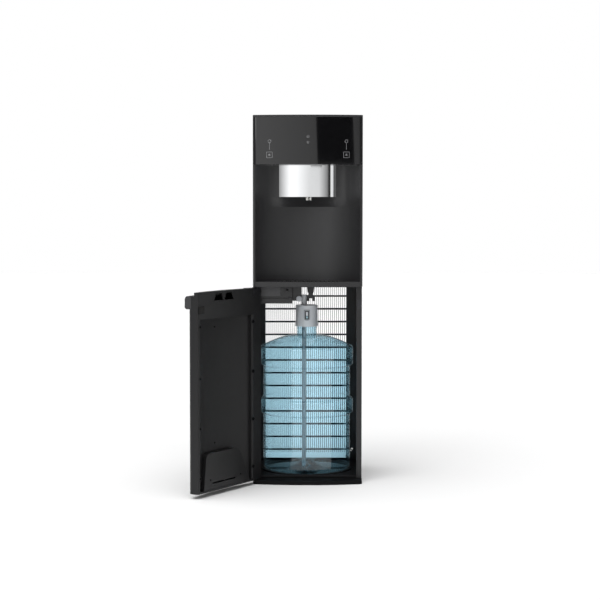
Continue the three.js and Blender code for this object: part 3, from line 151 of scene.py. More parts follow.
world = bpy.data.worlds.new("studio_surround")
bpy.context.scene.world = world
world.use_nodes = True
sky, sky_links = world.node_tree.nodes, world.node_tree.links
direction = sky.new("ShaderNodeTexCoord")
parts = sky.new("ShaderNodeSeparateXYZ")
bearing = sky.new("ShaderNodeMath")  # from the front, to the right, in radians
bearing.operation = "ARCTAN2"
ahead = sky.new("ShaderNodeMath")
ahead.operation = "MULTIPLY"
ahead.inputs[1].default_value = -1
turn_share = sky.new("ShaderNodeMapRange")
turn_share.inputs["From Min"].default_value = -math.pi
turn_share.inputs["From Max"].default_value = math.pi
brightness = sky.new("ShaderNodeValToRGB")
# Degrees to the right of the front, and how bright the surround is there.
SURROUND = [(-180, 0.3), (-75, 0.3), (-52, 0.5), (-32, 1.5), (-20, 1.45), (4, 1.0), (22, 0.95), (38, 0.3),
            (41, 0.02), (44, 0.02), (45, 1.1), (49, 1.1), (50.5, 0.12), (75, 0.25), (180, 0.3)]
stops = brightness.color_ramp.elements
while len(stops) < len(SURROUND):
    stops.new(1.0)
for stop, (degrees, level) in zip(stops, SURROUND):
    stop.position = (degrees + 180) / 360
    stop.color = (level / 2, level / 2, level / 2, 1)
glow, white = world.node_tree.nodes["Background"], sky.new("ShaderNodeBackground")
glow.inputs["Strength"].default_value = 2 * 0.8
white.inputs["Color"].default_value = (1, 1, 1, 1)
seen, choose = sky.new("ShaderNodeLightPath"), sky.new("ShaderNodeMixShader")
for output, socket in ((direction.outputs["Generated"], parts.inputs[0]),
                       (parts.outputs["Y"], ahead.inputs[0]),
                       (parts.outputs["X"], bearing.inputs[0]), (ahead.outputs[0], bearing.inputs[1]),
                       (bearing.outputs[0], turn_share.inputs["Value"]),
                       (turn_share.outputs[0], brightness.inputs[0]),
                       (brightness.outputs[0], glow.inputs["Color"]),
                       (seen.outputs["Is Camera Ray"], choose.inputs[0]), (glow.outputs[0], choose.inputs[1]),
                       (white.outputs[0], choose.inputs[2]),
                       (choose.outputs[0], sky["World Output"].inputs["Surface"])):
    sky_links.new(output, socket)


def softbox(name, centre, aim, width, height, watts):
    lamp = bpy.data.lights.new(name, "AREA")
    lamp.shape, lamp.size, lamp.size_y, lamp.energy = "RECTANGLE", width, height, watts
    made = bpy.data.objects.new(name, lamp)
    bpy.context.scene.collection.objects.link(made)
    made.location = centre
    made.rotation_euler = (Vector(aim) - Vector(centre)).to_track_quat("-Z", "Y").to_euler()
    return made


softbox("front_left_softbox", (-2.6, -3.0, 1.9), (0, -0.1, 0.6), 1.6, 1.6, 12)
overhead = bpy.data.lights.new("overhead_light", "SUN")
overhead.energy, overhead.angle = 2.4, math.radians(80)
overhead_light = bpy.data.objects.new("overhead_light", overhead)
overhead_light.rotation_euler = (math.radians(12), math.radians(-8), 0)
bpy.context.scene.collection.objects.link(overhead_light)


def card(name, left, right, y, bottom, top, shade):
    """A flat card that only mirrors show, facing the front of the dispenser."""
    mesh = bpy.data.meshes.new(name)
    corners = [(left, y, bottom), (right, y, bottom), (right, y, top), (left, y, top)]
    mesh.from_pydata(corners, [], [(0, 1, 2, 3)])
    made = bpy.data.objects.new(name, mesh)
    bpy.context.scene.collection.objects.link(made)
    made.visible_camera = made.visible_diffuse = made.visible_shadow = made.visible_transmission = False
    cloth = Finish(name, {"Roughness": 1.0, "Specular IOR Level": 0.0})
    light, dark = (shade, shade, shade), (shade * 0.8, shade * 0.8, shade * 0.8)
    cloth.feed("Base Color", cloth.mix(light, dark, cloth.noise(0.2)))
    made.data.materials.append(cloth.material)
    return made


card("dark_card_above", 0.102, 0.495, -1.0, 0.925, 1.4, 0.01)

CAMERA_PLACE = (-0.0756, -4.688, 0.792)
CAMERA_PITCH = 3.17  # degrees below level
camera_data = bpy.data.cameras.new("front_camera")
camera_data.lens = 96.24
camera_data.sensor_width = 36
camera_data.shift_x = 0.0317
camera_data.shift_y = -0.0100
camera_data.clip_end = 100
camera = bpy.data.objects.new("front_camera", camera_data)
camera.location = CAMERA_PLACE
camera.rotation_euler = (math.radians(90 - CAMERA_PITCH), 0, 0)
bpy.context.scene.collection.objects.link(camera)
bpy.context.scene.camera = camera
bpy.context.scene.view_settings.view_transform = "Standard"


# ---- Base pan and foot pads ----
# The pan is a black structural moulding that carries the bay floor on its ribs and hides four rubber pads in
# recesses. The pads are punched from rubber sheet and stuck in.

def smooth_and_clean():
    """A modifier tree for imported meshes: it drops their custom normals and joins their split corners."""
    tree = bpy.data.node_groups.new("join_corners_and_smooth", "GeometryNodeTree")
    tree.interface.new_socket("Geometry", in_out="INPUT", socket_type="NodeSocketGeometry")
    tree.interface.new_socket("Geometry", in_out="OUTPUT", socket_type="NodeSocketGeometry")
    entry, leave = tree.nodes.new("NodeGroupInput"), tree.nodes.new("NodeGroupOutput")
    plain = tree.nodes.new("GeometryNodeRemoveAttribute")
    plain.inputs["Name"].default_value = "custom_normal"
    weld = tree.nodes.new("GeometryNodeMergeByDistance")
    weld.inputs["Distance"].default_value = 0.005 * MM
    steps = [entry, plain, weld, leave]
    for before, after in zip(steps, steps[1:]):
        tree.links.new(before.outputs[0], after.inputs[0])
    return tree


def smooth_by_angle(limit):
    """A modifier tree that shades everything smooth, apart from edges sharper than limit degrees."""
    tree = bpy.data.node_groups.new(f"smooth_below_{limit}_degrees", "GeometryNodeTree")
    tree.interface.new_socket("Geometry", in_out="INPUT", socket_type="NodeSocketGeometry")
    tree.interface.new_socket("Geometry", in_out="OUTPUT", socket_type="NodeSocketGeometry")
    entry, leave = tree.nodes.new("NodeGroupInput"), tree.nodes.new("NodeGroupOutput")
    faces, edges = (tree.nodes.new("GeometryNodeSetShadeSmooth") for _ in range(2))
    faces.domain, edges.domain = "FACE", "EDGE"
    faces.inputs["Shade Smooth"].default_value = True
    edges.inputs["Shade Smooth"].default_value = False
    angle = tree.nodes.new("GeometryNodeInputMeshEdgeAngle")
    sharper = tree.nodes.new("FunctionNodeCompare")
    sharper.inputs[1].default_value = math.radians(limit)
    tree.links.new(angle.outputs["Unsigned Angle"], sharper.inputs[0])
    tree.links.new(sharper.outputs[0], edges.inputs["Selection"])
    for before, after in zip([entry, faces, edges], [faces, edges, leave]):
        tree.links.new(before.outputs[0], after.inputs[0])
    return tree


CLEAN = smooth_and_clean()
SMOOTH = smooth_by_angle(32)


def round_edges(thing, radius, segments=2, limit=32):
    """Rounds the sharp edges by radius, as a mould or a press leaves them, and shades the rest smooth."""
    if radius:
        bevel = thing.modifiers.new("edge_radius", "BEVEL")
        bevel.width, bevel.segments = radius, segments
        bevel.limit_method, bevel.angle_limit = "ANGLE", math.radians(limit)
        bevel.use_clamp_overlap = True
        bevel.loop_slide = False  # sliding along edges would carry corners past the solid
    smooth = thing.modifiers.new("smooth_walls", "NODES")
    smooth.node_group = SMOOTH
    flats = thing.modifiers.new("flats_stay_flat", "WEIGHTED_NORMAL")
    flats.keep_sharp = True


def dress(name, finish, radius=0.4 * MM):
    """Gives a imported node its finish, and rounds its edges."""
    node = cad[name]
    clean = node.modifiers.new("join_corners", "NODES")
    clean.node_group = CLEAN
    round_edges(node, radius)
    node.data.materials.clear()
    node.data.materials.append(finish)
    return node


def moulded_plastic(name, colour, roughness=0.5, grain=0.35 * MM, depth=0.02 * MM, shine=0.5):
    """A moulding from a spark-eroded tool: a fine grain, a slightly uneven sheen and faint flow marks."""
    finish = Finish(name, {"IOR": 1.5, "Specular IOR Level": shine})
    flow = finish.noise(60 * MM, 3, (1, 1, 0.4))
    dark, light = (tuple(c * k for c in colour) for k in (0.86, 1.14))
    finish.feed("Base Color", finish.mix(dark, light, flow))
    sheen = finish.noise(14 * MM, 4)
    finish.feed("Roughness", roughness - 0.06 + 0.12 * sheen)
    finish.bump(finish.noise(grain, 2) * 0.8 + finish.noise(25 * MM, 1) * 0.2, depth, 0.6)
    return finish.material


MATTE_BLACK = moulded_plastic("matte_black_moulding", (0.0100, 0.0100, 0.0108), 0.46, shine=0.4)
rubber_finish = Finish("punched_rubber", {"IOR": 1.45, "Specular IOR Level": 0.3})
rubber_finish.feed("Base Color", rubber_finish.mix((0.010, 0.010, 0.010), (0.022, 0.021, 0.020),
                                                   rubber_finish.noise(3 * MM, 4)))
rubber_finish.feed("Roughness", 0.74 + 0.2 * rubber_finish.noise(1 * MM))
rubber_finish.bump(rubber_finish.noise(0.5 * MM, 3), 0.05 * MM)
RUBBER = rubber_finish.material

PAN_BLACK = moulded_plastic("base_pan_moulding", (0.004, 0.004, 0.0045), 0.6, 0.5 * MM, 0.03 * MM, 0.1)
dress("base_pan", PAN_BLACK, 0.8 * MM)
for corner in ("front_left", "back_left", "front_right", "back_right"):
    dress(f"foot_pad_{corner}", RUBBER, 0.3 * MM)


# ---- Bay floor ----
# A thick black moulding that the bottle stands on. A low ring on it centres the bottle, and it drops onto the
# ribs of the base pan.

BAY_BLACK = moulded_plastic("bay_floor_moulding", (0.007, 0.007, 0.008), 0.6, 0.6 * MM, 0.03 * MM, 0.2)
dress("bay_floor", BAY_BLACK, 0.6 * MM)


# ---- Side panels, back frame and deck ----
# Folded from steel sheet and powder coated black. The posts beside the bay and the flanges at the back are
# part of the same two sheets, and pan-head screws hold the back frame and the upper cover to them.

def powder_coat(name, colour, roughness):
    """Baked powder on sheet steel: a low orange peel about a millimetre across, with a soft sheen."""
    finish = Finish(name, {"IOR": 1.5})
    peel = finish.noise(1.3 * MM, 2)
    broad = finish.noise(90 * MM, 2)
    dark, light = (tuple(c * k for c in colour) for k in (0.88, 1.12))
    finish.feed("Base Color", finish.mix(dark, light, 0.6 * broad + 0.4 * peel))
    finish.feed("Roughness", roughness + 0.10 * finish.noise(7 * MM, 3))
    finish.bump(peel, 0.035 * MM, 0.7)
    return finish.material


PAINTED_STEEL = powder_coat("black_powder_coat", (0.0085, 0.0085, 0.0095), 0.42)
for name in ("left_side_panel", "right_side_panel", "back_frame", "deck"):
    dress(name, PAINTED_STEEL, 0.4 * MM)


class Form:
    """A mesh in the making, in metres: its points and its faces."""

    def __init__(self):
        self.points, self.faces = [], []

    def add(self, points, faces):
        base = len(self.points)
        self.points += [tuple(p) for p in points]
        self.faces += [tuple(base + i for i in face) for face in faces]

    def loft(self, rings, capped=True, closed=False):
        """Skins between rings that have the same number of points. Each ring is a closed loop."""
        count, last = len(rings[0]), len(rings)
        faces = []
        for r in range(last if closed else last - 1):
            here, there = r * count, ((r + 1) % last) * count
            for i in range(count):
                j = (i + 1) % count
                faces.append((here + i, here + j, there + j, there + i))
        if capped and not closed:
            faces.append(tuple(reversed(range(count))))
            faces.append(tuple(range((last - 1) * count, last * count)))
        self.add([p for ring in rings for p in ring], faces)

    def turned(self, profile, x, y, steps=48, squash=1.0):
        """Turns (radius, height) points about a vertical axis, and caps the first and last ring."""
        rings = []
        for radius, z in profile:
            ring = [(x + radius * math.cos(t), y + squash * radius * math.sin(t), z)
                    for t in (2 * math.pi * k / steps for k in range(steps))]
            rings.append(ring)
        self.loft(rings)

    def swept(self, path, radius, sides=12):
        """A round rod along a path of points."""
        path = [Vector(p) for p in path]
        side = None
        rings = []
        for i, point in enumerate(path):
            ahead = path[min(i + 1, len(path) - 1)] - path[max(i - 1, 0)]
            ahead.normalize()
            if side is None:
                side = ahead.cross(Vector((0, 0, 1)) if abs(ahead.z) < 0.9 else Vector((0, 1, 0)))
            side = (side - ahead * side.dot(ahead)).normalized()
            up = side.cross(ahead)
            rings.append([point + radius * (math.cos(t) * side + math.sin(t) * up)
                          for t in (2 * math.pi * k / sides for k in range(sides))])
        self.loft(rings)

    def slab(self, outline, low, high, place):
        """An outline of flat points between two levels. place turns (u, v, level) into a point in space."""
        rings = [[place(u, v, level) for u, v in outline] for level in (low, high)]
        self.loft(rings)

    def make(self, name, body, finish, radius=0.0, limit=32, turn=None):
        """The finished piece, riding on its body."""
        mesh = bpy.data.meshes.new(name)
        mesh.from_pydata([turn @ Vector(p) for p in self.points] if turn else self.points, [], self.faces)
        made = bpy.data.objects.new(name, mesh)
        bpy.context.scene.collection.objects.link(made)
        outward(mesh)
        mesh.materials.append(finish)
        round_edges(made, radius, limit=limit)
        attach(made, body)
        return made


def outward(mesh):
    """Turns every face of a closed mesh to face out."""
    work = bmesh.new()
    work.from_mesh(mesh)
    bmesh.ops.remove_doubles(work, verts=work.verts, dist=1e-7)
    bmesh.ops.recalc_face_normals(work, faces=work.faces)
    work.to_mesh(mesh)
    work.free()


def pan_head_screw(form, centre, out, radius, height):
    """A domed screw head with a cross recess, on a surface that faces along out."""
    out = Vector(out).normalized()
    across = out.cross(Vector((0, 0, 1)) if abs(out.z) < 0.9 else Vector((1, 0, 0))).normalized()
    up = out.cross(across)
    slot_half, slot_reach = radius * 0.14, radius * 0.62
    steps = 32
    profile = [(1.0, 0.0), (1.0, 0.35), (0.93, 0.7), (0.72, 0.93), (0.55, 1.0)]

    def ring(share, level, cross):
        points = []
        for k in range(steps):
            t = 2 * math.pi * k / steps
            u, v = share * radius * math.cos(t), share * radius * math.sin(t)
            if cross:
                inside = abs(u) < slot_half or abs(v) < slot_half
                u, v = (u, v) if inside else (u * 0.3, v * 0.3)
            points.append(Vector(centre) + across * u + up * v + out * (level * height))
        return points

    rings = [ring(share, level, False) for share, level in profile]
    rings += [ring(slot_reach / radius, 1.0, True), ring(slot_reach / radius * 0.8, 0.3, True)]
    form.loft(rings)


def zinc_plate(name, colour, roughness):
    """Bright zinc on steel: cloudy crystals and a fine brushed haze."""
    finish = Finish(name, {"Metallic": 1.0})
    cloud = finish.noise(5 * MM, 3)
    dark = tuple(c * 0.8 for c in colour)
    finish.feed("Base Color", finish.mix(dark, colour, cloud))
    finish.feed("Roughness", roughness + 0.15 * finish.noise(2 * MM, 2, (1, 1, 6)))
    finish.bump(finish.noise(0.6 * MM, 2), 0.01 * MM)
    return finish.material


PLATED = zinc_plate("zinc_plated_steel", (0.58, 0.59, 0.60), 0.26)
BLACK_SCREW = zinc_plate("blackened_screw", (0.06, 0.06, 0.065), 0.35)

back_screws = Form()
frame_low, frame_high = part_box("back_frame")
cover_low, cover_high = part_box("upper_back_cover")
SCREW_HEAD = 3.4 * MM
back_sheet_y = cover_high.y
for side in (-1, 1):
    frame_rows = (frame_low.z + 20 * MM, 200 * MM, 370 * MM, frame_high.z - 16 * MM)
    cover_rows = (cover_low.z + 18 * MM, 720 * MM, 870 * MM, cover_high.z - 20 * MM)
    for z in frame_rows + cover_rows:
        at = (side * (frame_high.x - 6.5 * MM), back_sheet_y + 0.05 * MM, z)
        pan_head_screw(back_screws, at, (0, 1, 0), SCREW_HEAD, 2.0 * MM)
back_screws.make("back_cover_screws", "cabinet", BLACK_SCREW)


# ---- Condenser ----
# One steel tube folded to and fro, with fine steel wires spot welded across the back of its runs. Both are
# dipped in black enamel, and their ends turn into the cabinet through holes in the back.

ENAMEL_FINISH = Finish("dipped_black_enamel", {"IOR": 1.52, "Coat Roughness": 0.08})
ENAMEL_FINISH.feed("Base Color", ENAMEL_FINISH.mix((0.007, 0.007, 0.008), (0.013, 0.013, 0.015),
                                                   ENAMEL_FINISH.noise(20 * MM, 3)))
ENAMEL_FINISH.feed("Roughness", 0.24 + 0.16 * ENAMEL_FINISH.noise(4 * MM, 3))
ENAMEL_FINISH.bump(ENAMEL_FINISH.noise(3 * MM, 2, (1, 1, 0.5)), 0.08 * MM, 0.5)
ENAMEL = ENAMEL_FINISH.material

tubes_low, tubes_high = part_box("condenser_tubes")
TUBE_RADIUS = 2.7 * MM
TUBE_RUNS = 13
TUBE_PITCH = 39 * MM
STUB_BEND = 8 * MM
STUB_X = 140 * MM
first_run_z = tubes_low.z + TUBE_RADIUS
tube_y = tubes_high.y - TUBE_RADIUS
turn_x = tubes_high.x - TUBE_RADIUS - TUBE_PITCH / 2


def bent(corners, radius, steps):
    """The points of a path through corners, each rounded by the same radius."""
    corners = [Vector(c) for c in corners]
    points = [corners[0]]
    for before, corner, after in zip(corners, corners[1:], corners[2:]):
        back, ahead = (before - corner).normalized(), (after - corner).normalized()
        half = back.angle(ahead) / 2
        reach = radius / math.tan(half)
        centre = corner + (back + ahead).normalized() * (radius / math.sin(half))
        start, end = corner + back * reach - centre, corner + ahead * reach - centre
        swing = math.pi - 2 * half
        for k in range(steps + 1):
            share = k / steps
            spoke = start * math.sin((1 - share) * swing) + end * math.sin(share * swing)
            points.append(centre + spoke / math.sin(swing))
    points.append(corners[-1])
    return points


condenser = Form()
snake = [(STUB_X, tubes_low.y, first_run_z), (STUB_X, tube_y, first_run_z)]
snake_turns = []
for run in range(TUBE_RUNS - 1):
    side = -1 if run % 2 == 0 else 1
    z = first_run_z + run * TUBE_PITCH
    for k in range(13):
        t = -math.pi / 2 + math.pi * k / 12
        reach = TUBE_PITCH / 2
        x = side * (turn_x + reach * math.cos(t))
        snake_turns.append(Vector((x, tube_y, z + reach + reach * math.sin(t))))
top_run_z = first_run_z + (TUBE_RUNS - 1) * TUBE_PITCH
entry_bend = bent([snake[0], snake[1], snake_turns[0]], STUB_BEND, 6)[:-1]
leave = [snake_turns[-1], (-STUB_X, tube_y, top_run_z), (-STUB_X, tube_y, tubes_high.z - TUBE_RADIUS),
         (-STUB_X, tubes_low.y, tubes_high.z - TUBE_RADIUS)]
condenser.swept(entry_bend + snake_turns + bent(leave, STUB_BEND, 6)[1:], TUBE_RADIUS, 16)
tubes = condenser.make("condenser_tube_run", "cabinet", ENAMEL)
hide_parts("condenser_tubes")

wires_low, wires_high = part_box("condenser_wires")
WIRE_RADIUS = 0.75 * MM
WIRE_COUNT = 40
grid = Form()
wire_y = (wires_low.y + wires_high.y) / 2
for k in range(WIRE_COUNT):
    x = wires_low.x + WIRE_RADIUS + k * (wires_high.x - wires_low.x - 2 * WIRE_RADIUS) / (WIRE_COUNT - 1)
    grid.swept([(x, wire_y, wires_low.z), (x, wire_y, wires_high.z - WIRE_RADIUS)], WIRE_RADIUS, 8)
rod_z = wires_high.z - WIRE_RADIUS
grid.swept([(wires_low.x, wire_y, rod_z), (wires_high.x, wire_y, rod_z)], WIRE_RADIUS * 0.98, 8)
wires = grid.make("condenser_wire_grid", "cabinet", ENAMEL)
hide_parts("condenser_wires")


# ---- Upper back cover ----
# A flat powder coated sheet over the works. Each louvre is slit and pressed out of it, so that it has a hood
# that keeps drips out of the opening below.

dress("upper_back_cover", PAINTED_STEEL, 0.3 * MM)
LOUVRE_ROWS = 9
LOUVRE_PITCH = 14 * MM
LOUVRE_HALF = 53 * MM
LOUVRE_OUT = 4.5 * MM
SHEET_THICK = 0.7 * MM
louvres = Form()
for row in range(LOUVRE_ROWS):
    z = cover_high.z - 70 * MM - row * LOUVRE_PITCH
    for side in (-1, 1):
        rings = []
        for k in range(17):
            u = -1 + k / 8
            rise = math.sqrt(max(0.0, 1 - u ** 4))
            x = side * 70 * MM + u * LOUVRE_HALF
            section = []
            for j in range(9):
                t = math.pi / 2 * j / 8
                out = LOUVRE_OUT * rise * math.sin(t) + 0.1 * MM
                section.append((x, back_sheet_y + out, z + 5.4 * MM + (1 - math.sin(t) * 0.9) * 1.0 * MM
                                + math.cos(t) * 3.2 * MM * rise - 3.2 * MM * rise * math.sin(t) * 0.4))
            lip = [(px, max(back_sheet_y + 0.02 * MM, py - SHEET_THICK), pz - SHEET_THICK)
                   for px, py, pz in reversed(section)]
            rings.append(section + lip)
        louvres.loft(rings)
louvres.make("pressed_louvre_hoods", "cabinet", PAINTED_STEEL)


# ---- Switches, drain and gland ----
# Two rocker switches snap into a black bezel, one for the chiller and one for the heater. The drain has a
# screwed cap with finger grips over a white spigot, and the supply lead enters through a rubber gland.

GLOSS_ROCKER = moulded_plastic("glossy_black_rocker", (0.006, 0.006, 0.007), 0.16, 2 * MM, 0.004 * MM)
WHITE_PLASTIC = moulded_plastic("natural_white_plastic", (0.74, 0.74, 0.71), 0.36, 0.8 * MM, 0.01 * MM)
dress("switch_bezel", MATTE_BLACK, 0.5 * MM)
for name in ("cold_rocker", "hot_rocker"):
    dress(name, GLOSS_ROCKER, 0.6 * MM)
dress("drain_spigot", WHITE_PLASTIC, 0.3 * MM)
dress("drain_cap", MATTE_BLACK, 0.5 * MM)
dress("cord_gland", RUBBER, 0.6 * MM)


# ---- Compressor, tanks and their pipes ----
# The compressor is a welded steel pot on rubber-bushed legs. The chilled tank is stainless steel in a foam
# jacket, the heated one is bare, and silicone pipes join them to the nozzles.

foam_finish = Finish("rigid_foam", {"Specular IOR Level": 0.2})
foam_cells = foam_finish.noise(6 * MM, 4)
foam_finish.feed("Base Color", foam_finish.mix((0.60, 0.55, 0.44), (0.76, 0.72, 0.62), foam_cells))
foam_finish.feed("Roughness", 0.85 + 0.1 * foam_finish.noise(2 * MM))
foam_finish.bump(foam_finish.noise(1.2 * MM, 4), 0.4 * MM)
SILICONE = moulded_plastic("silicone_pipe", (0.62, 0.62, 0.59), 0.5, 1 * MM, 0.02 * MM)
STAINLESS = zinc_plate("bare_stainless_steel", (0.52, 0.52, 0.53), 0.28)
board_finish = Finish("printed_circuit_board", {"IOR": 1.5})
tracks = board_finish.noise(2.5 * MM, 1, (1, 1, 0.15)).ramp(0.48, 0.52)
board_finish.feed("Base Color", board_finish.mix((0.010, 0.055, 0.022), (0.020, 0.110, 0.045), tracks))
board_finish.feed("Roughness", 0.3 + 0.15 * tracks)
board_finish.bump(tracks, 0.04 * MM)
dress("compressor", ENAMEL, 0.6 * MM)
dress("cold_tank", STAINLESS, 0.5 * MM)
dress("hot_tank", STAINLESS, 0.5 * MM)
dress("cold_tank_jacket", foam_finish.material, 1.5 * MM)
dress("touch_board", board_finish.material, 0.1 * MM)
for name in ("feed_pipe", "cold_pipe", "hot_pipe"):
    dress(name, SILICONE, 0.0)


# ---- Alcove shell ----
# One tall matte black moulding: a smooth scooped back between two flat side strips, and a floor with a well
# for the drip tray. It snaps between the posts under the head.

ALCOVE_BLACK = moulded_plastic("alcove_moulding", (0.0150, 0.0150, 0.0160), 0.40, 0.3 * MM, 0.012 * MM)
dress("alcove_shell", ALCOVE_BLACK, 0.5 * MM)


# ---- Drip tray and grille ----
# The tray is a shallow black moulding that lifts out of the well, and its slotted grille drops in flush with
# the alcove's floor.

dress("drip_tray", MATTE_BLACK, 0.4 * MM)
dress("drip_grille", MATTE_BLACK, 0.5 * MM)


# ---- Spout housing ----
# A black moulding that swells out of the scooped back like a fairing. Its underside runs back and down until
# it meets the scoop, and the two nozzles hang below it.

housing_low, housing_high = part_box("spout_housing")
hood_low, hood_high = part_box("spout_hood")
SCOOP_RADIUS = 177 * MM
SCOOP_CENTRE_Y = -262 * MM
SPOUT_HALF = 80 * MM
SPOUT_FRONT_Y = -137 * MM
SPOUT_EDGE_Y = SPOUT_FRONT_Y + 19 * MM
UNDERSIDE_Y = -120 * MM
fairing_half = housing_high.x
spout_radius = (SPOUT_HALF ** 2 + (SPOUT_EDGE_Y - SPOUT_FRONT_Y) ** 2) / (2 * (SPOUT_EDGE_Y - SPOUT_FRONT_Y))


def scoop_y(x):
    """The scooped back of the alcove, just clear of its surface."""
    return SCOOP_CENTRE_Y + math.sqrt(SCOOP_RADIUS ** 2 - x ** 2) - 0.3 * MM


def spout_y(x, lift=0.0):
    return SPOUT_FRONT_Y + spout_radius - math.sqrt((spout_radius + lift) ** 2 - x ** 2)


def fairing_y(x):
    """The housing's front: the bulge behind the hood, then a smooth run out to the scoop on either side."""
    if abs(x) <= SPOUT_HALF:
        return spout_y(x)
    share = (abs(x) - SPOUT_HALF) / (fairing_half - SPOUT_HALF)
    edge_y, meet_y = spout_y(SPOUT_HALF), scoop_y(fairing_half)
    length = fairing_half - SPOUT_HALF
    start_slope = 0.05 * length
    end_slope = -fairing_half / math.sqrt(SCOOP_RADIUS ** 2 - fairing_half ** 2) * length
    s, s2, s3 = share, share ** 2, share ** 3
    return ((2 * s3 - 3 * s2 + 1) * edge_y + (s3 - 2 * s2 + s) * start_slope
            + (-2 * s3 + 3 * s2) * meet_y + (s3 - s2) * end_slope)


housing = Form()
columns = 96
across = [-fairing_half + 2 * fairing_half * k / columns for k in range(columns + 1)]
rows = []
for z in (housing_high.z, hood_low.z):
    rows.append([(x, fairing_y(x), z) for x in across] + [(x, scoop_y(x), z) for x in reversed(across)])
SLOPE_STEPS = 14
for k in range(SLOPE_STEPS + 1):
    share = k / SLOPE_STEPS
    z = hood_low.z - share * (hood_low.z - housing_low.z)
    front = []
    for x in across:
        start = max(fairing_y(x), UNDERSIDE_Y) if abs(x) <= SPOUT_HALF else fairing_y(x)
        front.append((x, start + (scoop_y(x) - 0.3 * MM - start) * share ** 0.9, z))
    rows.append(front + [(x, scoop_y(x), z) for x in reversed(across)])
housing.loft(rows)
fairing = housing.make("spout_fairing", "cabinet", ALCOVE_BLACK, limit=50)
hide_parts("spout_housing")


# ---- Spout hood and nozzles ----
# The hood is a thin plate of stainless steel, mirror polished, rolled to the spout's bulge and clipped over
# it. The nozzles are moulded in natural white plastic.

mirror = Finish("mirror_polished_steel", {"Metallic": 1.0})
haze = mirror.noise(1.2 * MM, 2, (1, 1, 0.03))
mirror.feed("Base Color", mirror.mix((0.86, 0.87, 0.88), (0.90, 0.91, 0.92), mirror.noise(40 * MM, 2)))
mirror.feed("Roughness", 0.03 + 0.05 * haze)
mirror.bump(mirror.noise(50 * MM, 1), 0.02 * MM, 0.4)
hood_thick = 1.2 * MM
hood = Form()
hood_rings = []
HOOD_STEPS = 72
HOOD_EDGE = 0.4 * MM
HOOD_GAP = 0.3 * MM
hood_centre_y = SPOUT_FRONT_Y + spout_radius
for k in range(HOOD_STEPS + 1):
    angle = (2 * k / HOOD_STEPS - 1) * math.asin(hood_high.x / (spout_radius + HOOD_GAP + hood_thick))
    inner, outer = spout_radius + HOOD_GAP, spout_radius + HOOD_GAP + hood_thick
    section = [(inner, hood_low.z), (outer - HOOD_EDGE, hood_low.z), (outer, hood_low.z + HOOD_EDGE),
               (outer, hood_high.z - HOOD_EDGE), (outer - HOOD_EDGE, hood_high.z), (inner, hood_high.z)]
    hood_rings.append([(r * math.sin(angle), hood_centre_y - r * math.cos(angle), z) for r, z in section])
hood.loft(hood_rings)
hood_piece = hood.make("polished_spout_hood", "cabinet", mirror.material, limit=40)
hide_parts("spout_hood")
for name in ("cold_nozzle", "hot_nozzle"):
    dress(name, WHITE_PLASTIC, 0.4 * MM)


# ---- Head fascia and touch marks ----
# A bowed front moulded in black and polished like a piano, with touch keys behind it. The marks are printed
# on the back of the clear face, so they lie dead flat and hardly show when they aren't lit.

piano = Finish("polished_piano_black", {"IOR": 1.5, "Coat Weight": 0.3, "Coat Roughness": 0.02})
depth_cloud = piano.noise(80 * MM, 2)
piano.feed("Base Color", piano.mix((0.0035, 0.0035, 0.0040), (0.0050, 0.0050, 0.0056), depth_cloud))
piano.feed("Roughness", 0.05 + 0.05 * piano.noise(18 * MM, 4))
piano.bump(piano.noise(70 * MM, 1), 0.03 * MM, 0.5)
PIANO_BLACK = piano.material
dress("head_fascia", PIANO_BLACK, 0.7 * MM)

BOW_RADIUS = 700 * MM
fascia_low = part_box("head_fascia")[0]
bow_centre_y = fascia_low.y + BOW_RADIUS


def on_bow(x, z, lift):
    """A point on the bowed front, lifted off it by lift."""
    return (x, bow_centre_y - math.sqrt((BOW_RADIUS + lift) ** 2 - x ** 2), z)


MARK_LIFT = 0.12 * MM


def mark(form, outline):
    """A flat printed mark that follows the bow."""
    form.slab(outline, 0.02 * MM, MARK_LIFT, lambda u, v, lift: on_bow(u, v, lift))


def stroke(form, x0, z0, x1, z1, width):
    run = Vector((x1 - x0, z1 - z0)).normalized() * (width / 2)
    side = Vector((-run.y, run.x))
    corners = [(x0, z0, -1, -1), (x1, z1, 1, -1), (x1, z1, 1, 1), (x0, z0, -1, 1)]
    mark(form, [(x + run.x * a + side.x * b, z + run.y * a + side.y * b) for x, z, a, b in corners])


def ring_mark(form, x, z, radius, width, start=0.0, sweep=360.0):
    steps = max(8, int(sweep / 10))
    full = sweep >= 360
    count = steps if full else steps + 1
    angles = [math.radians(start + sweep * k / steps) for k in range(count)]
    rings = []
    for t in angles:
        corners = [(radius - width / 2, 0.02 * MM), (radius + width / 2, 0.02 * MM),
                   (radius + width / 2, MARK_LIFT), (radius - width / 2, MARK_LIFT)]
        rings.append([on_bow(x + r * math.cos(t), z + r * math.sin(t), lift) for r, lift in corners])
    form.loft(rings, closed=full)


